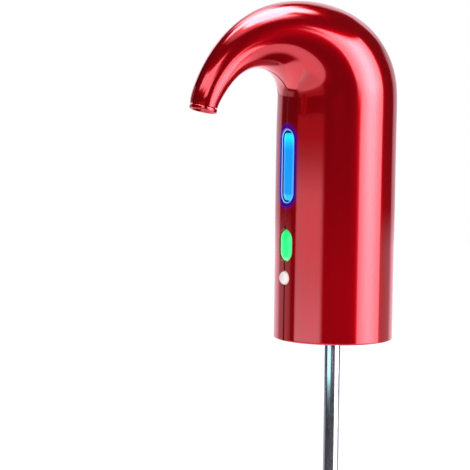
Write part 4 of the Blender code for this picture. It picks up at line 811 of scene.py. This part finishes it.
class AERATOR_OT_spout(bpy.types.Operator):
    """Build the collar ring and the nozzle at the spout's end"""
    bl_idname = "aerator.spout"
    bl_label = "Spout end"

    def execute(self, context):
        sizes, _ = scene_sizes()
        place = spout_place(sizes)
        collar = turn_profile(in_mm(
            (4.4, 6.8), (5.2, 6.8), (5.2, 2.0), (6.4, 2.0), (6.65, 1.7), (6.65, 0.6),
            (6.45, 0.1), (6.15, 0.0), (5.8, 0.35), (4.4, 2.0)), rounding=0.12 * MM)
        bmesh.ops.transform(collar, verts=collar.verts, matrix=place)
        add_piece("spout_ring", collar, bpy.data.materials["candy_red_lacquer"],
                  replaces=("spout_collar",))
        nozzle = turn_profile(in_mm(
            (1.2, 14.1), (1.7, 14.1), (1.7, 9.6), (4.1, 9.0), (5.2, 8.4), (5.2, 7.1),
            (4.1, 7.1), (4.1, 3.2), (3.1, 3.2), (1.2, 8.4)), rounding=0.15 * MM)
        bmesh.ops.transform(nozzle, verts=nozzle.verts, matrix=place)
        add_piece("nozzle_insert", nozzle, finish_of("food_plastic"),
                  replaces=("aerator_nozzle",))
        return {'FINISHED'}


class AERATOR_OT_suction_tube(bpy.types.Operator):
    """Build the telescopic steel tube, its collar and its foot"""
    bl_idname = "aerator.suction_tube"
    bl_label = "Suction tube"

    def execute(self, context):
        for node, body in (("suction_tube", "body"), ("extension_tube", "extension")):
            low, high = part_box(node)
            inner, outer = high.x - TUBE_WALL, high.x
            tube = turn_profile([(inner, low.z), (outer, low.z), (outer, high.z),
                                 (inner, high.z)], rounding=0.12 * MM)
            add_piece(node + "_drawn", tube, finish_of("stainless_tube"),
                      body, (node,))
        low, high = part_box("tube_collar")
        outer, bore, seat, ledge = high.x, 3.3 * MM, 4.3 * MM, low.z + 1.5 * MM
        chamfer, sunk = 0.6 * MM, 0.25 * MM
        collar = [(bore, low.z), (outer - chamfer, low.z), (outer, low.z + chamfer)]
        for k in range(3):
            groove = low.z + (2.2 + 1.4 * k) * MM
            collar += [(outer, groove), (outer - sunk, groove + 0.2 * MM),
                       (outer - sunk, groove + 0.5 * MM), (outer, groove + 0.7 * MM)]
        collar += [(outer, high.z - 0.5 * MM), (outer - 0.5 * MM, high.z), (seat, high.z),
                   (seat, ledge), (bore, ledge)]
        add_piece("tube_collar_moulded", turn_profile(collar, rounding=0.08 * MM, segments=2),
                  finish_of("black_moulding"), replaces=("tube_collar",))
        low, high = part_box("tube_foot")
        outer, bore, seat, ledge = high.x, 2.5 * MM, 3.3 * MM, high.z - 5.3 * MM
        foot = turn_profile([
            (outer, high.z - 0.4 * MM), (outer, low.z + 1.0 * MM), (outer - 0.8 * MM, low.z),
            (bore, low.z), (bore, ledge), (seat, ledge), (seat, high.z),
            (outer - 0.4 * MM, high.z)], rounding=0.1 * MM, segments=2)
        slots = [box_form((0, 0, low.z), (14 * MM, 1.6 * MM, 5.0 * MM), turn)
                 for turn in (0, math.pi / 2)]
        add_piece("tube_foot_moulded", carve(foot, slots), finish_of("black_moulding"),
                  "extension", ("tube_foot",))
        return {'FINISHED'}


class AERATOR_OT_neck_seat(bpy.types.Operator):
    """Build the neck socket, the ribbed plug and the base screws"""
    bl_idname = "aerator.neck_seat"
    bl_label = "Neck seat"

    def execute(self, context):
        low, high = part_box("neck_socket")
        deck, bore, guide, guide_wall = 37.3 * MM, 6.5 * MM, 17.0 * MM, 18.6 * MM
        plate = 4.2 * MM
        socket = turn_profile([
            (guide_wall, high.z), (guide_wall, plate), (high.x, plate), (high.x, low.z),
            (guide + 1.2 * MM, low.z), (guide, low.z + 1.2 * MM), (guide, deck), (bore, deck),
            (bore, high.z)], sides=96, rounding=0.25 * MM)
        holes = []
        for k in range(1, 5):
            spot_low, spot_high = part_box("base_screw_%d" % k)
            spot = (spot_low + spot_high) / 2
            # The head's recess and the shank's hole
            for radius, start, end in ((2.3 * MM, -3.0 * MM, 2.6 * MM),
                                       (1.4 * MM, 2.3 * MM, 7.2 * MM)):
                place = Matrix.Translation((spot.x, spot.y, (start + end) / 2))
                holes.append(rod_form(radius, end - start, place, 32))
            self.screw(k, spot)
        add_piece("neck_socket_moulded", carve(socket, holes), finish_of("black_moulding"),
                  replaces=("neck_socket",))

        low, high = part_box("bottle_plug")
        lip, bore, flange, neck = 34.5 * MM, 6.5 * MM, 15.0 * MM, 8.5 * MM
        bevel, rib_pitch = 0.4 * MM, 7.5 * MM
        plug = [(flange, high.z - bevel), (flange, lip + bevel), (flange - bevel, lip),
                (neck, lip)]
        for k in range(3):
            crest = lip - rib_pitch * (k + 0.5)
            root = neck - 0.4 * MM * k
            plug += [(root + out * MM, crest + up * MM) for out, up in (
                (0.0, 1.9), (1.1, 0.7), (1.4, 0.0), (1.1, -0.7), (0.0, -1.9))]
        plug += [(7.3 * MM, low.z), (bore, low.z), (bore, high.z), (flange - bevel, high.z)]
        add_piece("plug_ribbed", turn_profile(plug, rounding=0.25 * MM),
                  finish_of("seal_silicone"), replaces=("bottle_plug",))
        return {'FINISHED'}

    def screw(self, number, spot):
        """Build one pan-head screw with a cross recess, its head down."""
        screw = turn_profile(in_mm(
            (0.0, 0.85), (1.0, 0.9), (1.6, 1.1), (2.0, 1.6), (2.0, 2.3), (1.1, 2.3), (1.1, 9.4),
            (0.0, 10.3)), sides=32, closed=False)
        cross = [box_form((0, 0, 0.9 * MM), (2.2 * MM, 0.5 * MM, 1.6 * MM), turn)
                 for turn in (math.pi / 4, -math.pi / 4)]
        mesh = carve(screw, cross)
        mesh.transform(Matrix.Translation((spot.x, spot.y, 0)))
        add_piece("base_screw_%d_turned" % number, mesh, finish_of("screw_steel"),
                  replaces=("base_screw_%d" % number,))


class AERATOR_OT_charging_port(bpy.types.Operator):
    """Build the charging port's metal shell and tongue at the rear"""
    bl_idname = "aerator.charging_port"
    bl_label = "Charging port"

    def execute(self, context):
        low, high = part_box("charging_port")
        width, length = high.z - low.z, high.x - low.x
        centre = (low.z + high.z) / 2
        lip = 0.1 * MM
        shell = stadium_stack(width, length, [
            (-4 * lip, low.y + 0.7 * MM), (-4 * lip, high.y - lip), (-3 * lip, high.y),
            (-lip, high.y), (0.0, high.y - lip), (0.0, low.y)],
            across='Z', centre=centre, sides=40)
        add_piece("charging_port_shell", shell, finish_of("switch_metal"),
                  replaces=("charging_port",))
        tongue = box_form((0, (low.y + high.y) / 2, centre),
                          (6.4 * MM, high.y - low.y - 1.6 * MM, 0.7 * MM))
        bmesh.ops.bevel(tongue, geom=tongue.edges[:], offset=0.12 * MM, segments=2,
                        profile=0.5, affect='EDGES', material=-1, clamp_overlap=True)
        add_piece("charging_port_tongue", tongue, finish_of("black_moulding"))
        return {'FINISHED'}


class AERATOR_OT_inner_parts(bpy.types.Operator):
    """Give every carried-over node of the frame its finish"""
    bl_idname = "aerator.inner_parts"
    bl_label = "Finishes of the inner parts"

    def execute(self, context):
        slots = {part["node"]: part["material_slot"] for part in frame["record"]["subparts"]}
        for node, item in frame["nodes"].items():
            finish = finish_of(slots[node])
            if finish is None:
                continue
            item.data.materials.clear()
            item.data.materials.append(finish)
        return {'FINISHED'}


# Soft boxes and pale surfaces round the object, as gloss sees them. In degrees: azimuth from
# the camera to the right, half width and its softness, lowest elevation and its softness,
# highest elevation and its softness. Then the strength.
SOFT_BOXES = (
    # Key strip at the right, brightest along its middle
    (69.0, 25.5, 2.0, -19.5, 1.0, 3.0, 3.0, 3.5),
    (66.0, 29.0, 2.0, 3.0, 3.0, 31.0, 2.5, 4.5),
    (69.0, 26.0, 3.0, 31.0, 2.5, 40.0, 1.8, 4.5),
    (66.0, 14.5, 14.5, -19.5, 1.0, 38.5, 3.0, 3.2),
    (66.0, 14.5, 14.5, -1.0, 9.0, 36.0, 5.0, 4.8),
    # Tall panel at the upper left: its head and its right side
    (-36.0, 33.0, 4.0, 30.0, 3.0, 41.0, 1.5, 3.9),
    (-14.0, 17.0, 4.0, 24.0, 3.0, 30.0, 3.0, 3.8),
    (0.0, 10.5, 3.0, 10.0, 4.0, 24.0, 3.0, 3.6),
    # White sweep all round, less bright under the object
    (-25.0, 55.0, 12.0, -50.0, 7.0, -20.5, 1.2, 1.75),
    (-38.0, 42.0, 8.0, -95.0, 1.0, -50.0, 7.0, 1.9),
    (-105.0, 25.0, 12.0, -95.0, 1.0, -28.0, 2.0, 2.0),
    (70.0, 40.0, 12.0, -50.0, 7.0, -20.5, 1.2, 1.7),
    (88.0, 16.0, 10.0, -36.0, 8.0, -20.5, 1.2, 1.4),
    (180.0, 50.0, 12.0, -95.0, 1.0, -20.5, 1.2, 1.7),
    # White backdrop behind
    (180.0, 46.0, 3.0, -20.5, 1.0, 18.0, 4.0, 0.75),
    (180.0, 34.0, 4.0, 18.0, 4.0, 32.0, 3.0, 1.3),
    (180.0, 24.0, 4.0, 32.0, 3.0, 42.0, 3.0, 1.2),
    (180.0, 84.0, 5.0, -20.5, 1.0, -4.2, 0.8, 0.55),
    (-158.0, 14.0, 5.0, 5.0, 5.0, 32.0, 6.0, 0.9),
    # Large panel overhead, set back behind the object
    (0.0, 190.0, 1.0, 76.0, 3.0, 95.0, 1.0, 15.0),
    (-15.0, 75.0, 14.0, 63.0, 4.0, 76.0, 3.0, 1.2),
    (180.0, 75.0, 12.0, 66.0, 4.0, 76.0, 3.0, 13.0),
    (-150.0, 48.0, 12.0, 58.0, 3.0, 66.0, 4.0, 10.0),
    (-160.0, 16.0, 8.0, 44.0, 5.0, 58.0, 4.0, 5.0),
    (140.0, 22.0, 8.0, 63.0, 2.0, 66.0, 4.0, 7.0),
    (45.0, 30.0, 14.0, 69.0, 3.0, 76.0, 3.0, 7.5),
    # Dark room
    (0.0, 190.0, 1.0, -95.0, 1.0, 95.0, 1.0, 0.03),
)
# The studio's light is slightly magenta, which greys the red
STUDIO_COLOUR = (1.05, 1, 1.14)
# Level of the world's even light, which all but the gloss and the eye see
AMBIENT = 0.9
CAMERA_AZIMUTH = -32.66
CAMERA_PLACE = (728.54, -525.07, 119.42)
CAMERA_AXES = ((0.53873, 0.84237, 0.01322), (-0.07195, 0.03037, 0.99695),
               (0.83940, -0.53804, 0.07697))
SENSOR = 36.0
FOCUS_PIXELS = 1828.2
FLOOR_HEIGHT = -275 * MM
FLOOR_RADIUS = 4.0
FLOOR_LIFT = 0.3
# Pale card close to the body's left, blue at its foot and red at its head. Where it stands, its
# width, and across it the places where each side's soft edge starts and ends
CARD_AZIMUTH = -50.0
CARD_DISTANCE = 126.6 * MM
CARD_WIDTH = 160 * MM
CARD_LEFT = (-63 * MM, -54 * MM)
CARD_RIGHT = (72 * MM, 50 * MM)
# It lets more and more of the sweep through between these heights
CARD_CLEAR = (95 * MM, 66 * MM)
CARD_STRENGTH = 2.9
CARD_GREEN = 0.93
# Height of a point in mm, its share of the strength and its red
CARD_POINTS = ((-22, 1.1, 0.5), (20, 0.68, 0.6), (38, 0.57, 0.85), (66, 0.55, 0.85),
               (86, 0.17, 1.2), (98, 0.04, 5.0), (114, 0.04, 5.0))


def level_direction(azimuth):
    """Return the level direction at an azimuth from the camera."""
    heading = math.radians(CAMERA_AZIMUTH + azimuth)
    return Vector((math.cos(heading), math.sin(heading), 0))


class AERATOR_OT_stage(bpy.types.Operator):
    """Set the floor, the studio light and the camera at the photograph's angle"""
    bl_idname = "aerator.stage"
    bl_label = "Stage"

    def execute(self, context):
        self.camera(context.scene)
        self.floor()
        self.card()
        self.lamps(context.scene)
        self.world(context.scene)
        context.scene.view_settings.view_transform = 'Standard'
        return {'FINISHED'}

    def camera(self, scene):
        """Place the camera that was fitted to the photograph."""
        data = bpy.data.cameras.new("camera")
        data.sensor_width = SENSOR
        data.lens = FOCUS_PIXELS / PICTURE * SENSOR
        data.clip_start = 0.01
        data.clip_end = 20.0
        item = bpy.data.objects.new("camera", data)
        turn = Matrix(CAMERA_AXES).transposed().to_4x4()
        item.matrix_world = Matrix.Translation(Vector(CAMERA_PLACE) * MM) @ turn
        scene.collection.objects.link(item)
        scene.camera = item

    def floor(self):
        """Lay a pale floor below the tube's lowest reach."""
        bm = bmesh.new()
        bmesh.ops.create_circle(bm, cap_ends=True, segments=96, radius=FLOOR_RADIUS,
                                matrix=Matrix.Translation((0, 0, FLOOR_HEIGHT)))
        material, tree, shader = new_material("pale_floor")
        _, colours = scene_sizes()
        place = add(tree, 'ShaderNodeTexCoord').outputs["Object"]
        # Its tone varies by a hundredth, in patches of 25 mm
        grain = add(tree, NOISE, Vector=place, Scale=1 / (25 * MM), Detail=2.0)
        tone = Vector(colours.floor)
        mix = add(tree, 'ShaderNodeMix', IN_COLOUR, i0=grain, i6=tone * 0.99, i7=tone)
        # The eye sees the sweep as white, and the object's shadow stays on it
        path = add(tree, 'ShaderNodeLightPath').outputs
        seen = add(tree, MATH, 'MAXIMUM', path["Is Camera Ray"], path["Is Transmission Ray"])
        feed(shader, Base_Color=mix.outputs[2], Roughness=0.9, Specular_IOR_Level=0.0,
             Emission_Color=(1, 1, 1),
             Emission_Strength=add(tree, MATH, 'MULTIPLY', seen, FLOOR_LIFT))
        item = self.staged("floor", bm, material)
        item.visible_glossy = False

    def staged(self, name, bm, material):
        """Make a piece of the stage."""
        mesh = bpy.data.meshes.new(name)
        bm.to_mesh(mesh)
        bm.free()
        mesh.materials.append(material)
        item = bpy.data.objects.new(name, mesh)
        bpy.context.scene.collection.objects.link(item)
        return item

    def card(self):
        """Stand the low pale card that only the gloss sees."""
        out = level_direction(CARD_AZIMUTH)
        low, high = CARD_POINTS[0][0] * MM, CARD_POINTS[-1][0] * MM
        bm = bmesh.new()
        bmesh.ops.create_grid(bm, x_segments=1, y_segments=1, size=0.5, matrix=(
            Matrix.Translation(out * CARD_DISTANCE) @ facing(out)
            @ Matrix.Translation((0, (low + high) / 2, 0))
            @ Matrix.Diagonal((CARD_WIDTH, high - low, 1, 1))))
        material, tree, shader = new_material("pale_card")
        place = add(tree, 'ShaderNodeTexCoord').outputs["Object"]
        up = add(tree, 'ShaderNodeSeparateXYZ', Vector=place).outputs[2]
        share = add(tree, MAP_RANGE, Value=up, From_Min=low, From_Max=high)
        colour = set_stops(add(tree, 'ShaderNodeValToRGB', Fac=share), [
            ((height * MM - low) / (high - low), (red * level, CARD_GREEN * level, level))
            for height, level, red in CARD_POINTS])
        side = add(tree, 'ShaderNodeVectorMath', 'DOT_PRODUCT', place, (-out.y, out.x, 0.0))
        edges = [add(tree, MAP_RANGE, SMOOTH, Value=side.outputs["Value"], From_Min=start,
                     From_Max=end) for start, end in (CARD_LEFT, CARD_RIGHT)]
        inside = add(tree, MATH, 'MULTIPLY', *edges)
        glow = add(tree, 'ShaderNodeEmission', Color=colour,
                   Strength=add(tree, MATH, 'MULTIPLY', inside, CARD_STRENGTH))
        # At its head and outside its soft edges the card lets what is behind it through
        dense = add(tree, MAP_RANGE, Value=up, From_Min=CARD_CLEAR[0], From_Max=CARD_CLEAR[1])
        hidden = add(tree, MATH, 'MULTIPLY', inside, dense)
        clear = add(tree, 'ShaderNodeBsdfTransparent',
                    Color=add(tree, MATH, 'SUBTRACT', 1.0, hidden))
        feed(tree.nodes["Material Output"], Surface=add(tree, 'ShaderNodeAddShader', None, glow,
                                                        clear))
        tree.nodes.remove(shader)
        item = self.staged("low_card", bm, material)
        for ray in ("camera", "diffuse", "transmission", "volume_scatter", "shadow"):
            setattr(item, "visible_" + ray, False)

    def lamps(self, scene):
        """Hang a large soft lamp over the object and a small one low before the body."""
        before = level_direction(5.0)
        low_spot = before * 0.1 + Vector((0, 0, 0.015))
        soft_spot = Vector((0.9, 0.4, 1.3))
        # Each one's shape, size, watts, place, and the way that its back faces
        for name, shape, size, power, spot, back in (
                ("low_lamp", 'DISK', 0.08, 0.055, low_spot, before),
                ("soft_lamp", 'SQUARE', 1.2, 9.0, soft_spot, soft_spot)):
            data = bpy.data.lights.new(name, 'AREA')
            data.shape, data.size, data.energy = shape, size, power
            item = bpy.data.objects.new(name, data)
            item.matrix_world = Matrix.Translation(spot) @ facing(back)
            item.visible_glossy = False
            item.visible_camera = False
            scene.collection.objects.link(item)

    def world(self, scene):
        """Surround the object with a white backdrop and, for gloss, the soft boxes."""
        world = bpy.data.worlds.new("studio")
        world.use_nodes = True
        tree = world.node_tree
        tree.nodes.clear()
        place = add(tree, 'ShaderNodeTexCoord').outputs["Generated"]
        turned = add(tree, 'ShaderNodeVectorRotate', {"rotation_type": 'Z_AXIS'}, Vector=place,
                     Angle=math.radians(-CAMERA_AZIMUTH))
        ahead, aside, up = add(tree, 'ShaderNodeSeparateXYZ', Vector=turned).outputs
        azimuth = add(tree, MATH, 'DEGREES', add(tree, MATH, 'ARCTAN2', aside, ahead))
        elevation = add(tree, MATH, 'DEGREES', add(tree, MATH, 'ARCSINE', up))
        total = 0.0
        for centre, half, soft, low, low_soft, high, high_soft, strength in SOFT_BOXES:
            away = add(tree, MATH, 'SUBTRACT', azimuth, centre)
            away = add(tree, MATH, 'ABSOLUTE', add(tree, MATH, 'WRAP', away, 180.0, -180.0))
            level = add(tree, MAP_RANGE, SMOOTH, Value=away, From_Min=half - soft,
                        From_Max=half + soft, To_Min=strength, To_Max=0.0)
            for edge, fade, start in ((low, low_soft, 0.0), (high, high_soft, 1.0)):
                # A box that reaches straight up or down has no edge there
                if abs(edge) < 90.0:
                    share = add(tree, MAP_RANGE, SMOOTH, Value=elevation,
                                From_Min=edge - fade, From_Max=edge + fade, To_Min=start,
                                To_Max=1.0 - start)
                    level = add(tree, MATH, 'MULTIPLY', level, share)
            total = add(tree, MATH, 'ADD', total, level)
        path = add(tree, 'ShaderNodeLightPath').outputs
        plain, studio, white = (
            add(tree, 'ShaderNodeBackground', Color=colour, Strength=strength)
            for colour, strength in (((1, 1, 1), AMBIENT), (STUDIO_COLOUR, total),
                                     ((1, 1, 1), 1.0)))
        lit = add(tree, 'ShaderNodeMixShader', None, path["Is Glossy Ray"], plain, studio)
        clear = add(tree, MATH, 'MAXIMUM', path["Is Camera Ray"], path["Is Transmission Ray"])
        seen = add(tree, 'ShaderNodeMixShader', None, clear, lit, white)
        add(tree, 'ShaderNodeOutputWorld', Surface=seen)
        scene.world = world


class AERATOR_PT_panel(bpy.types.Panel):
    """Lists the aerator's operators"""
    bl_label = "Aerator"
    bl_idname = "AERATOR_PT_panel"
    bl_space_type = 'VIEW_3D'
    bl_region_type = 'UI'
    bl_category = "Aerator"

    def draw(self, context):
        for operator in OPERATORS:
            self.layout.operator(operator.bl_idname)


OPERATORS = (AERATOR_OT_housing, AERATOR_OT_window, AERATOR_OT_button, AERATOR_OT_spout,
             AERATOR_OT_suction_tube, AERATOR_OT_neck_seat, AERATOR_OT_charging_port,
             AERATOR_OT_inner_parts, AERATOR_OT_stage)
CLASSES = (AeratorSizes, AeratorColours) + OPERATORS + (AERATOR_PT_panel,)


def register():
    """Register the classes and the scene's properties."""
    for item in CLASSES:
        bpy.utils.register_class(item)
    bpy.types.Scene.aerator_sizes = bpy.props.PointerProperty(type=AeratorSizes)
    bpy.types.Scene.aerator_colours = bpy.props.PointerProperty(type=AeratorColours)


def unregister():
    """Remove what register added."""
    del bpy.types.Scene.aerator_colours
    del bpy.types.Scene.aerator_sizes
    for item in reversed(CLASSES):
        bpy.utils.unregister_class(item)


def main():
    """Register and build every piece."""
    register()
    for operator in OPERATORS:
        group, name = operator.bl_idname.split(".")
        getattr(getattr(bpy.ops, group), name)()


if __name__ == "__main__":
    main()
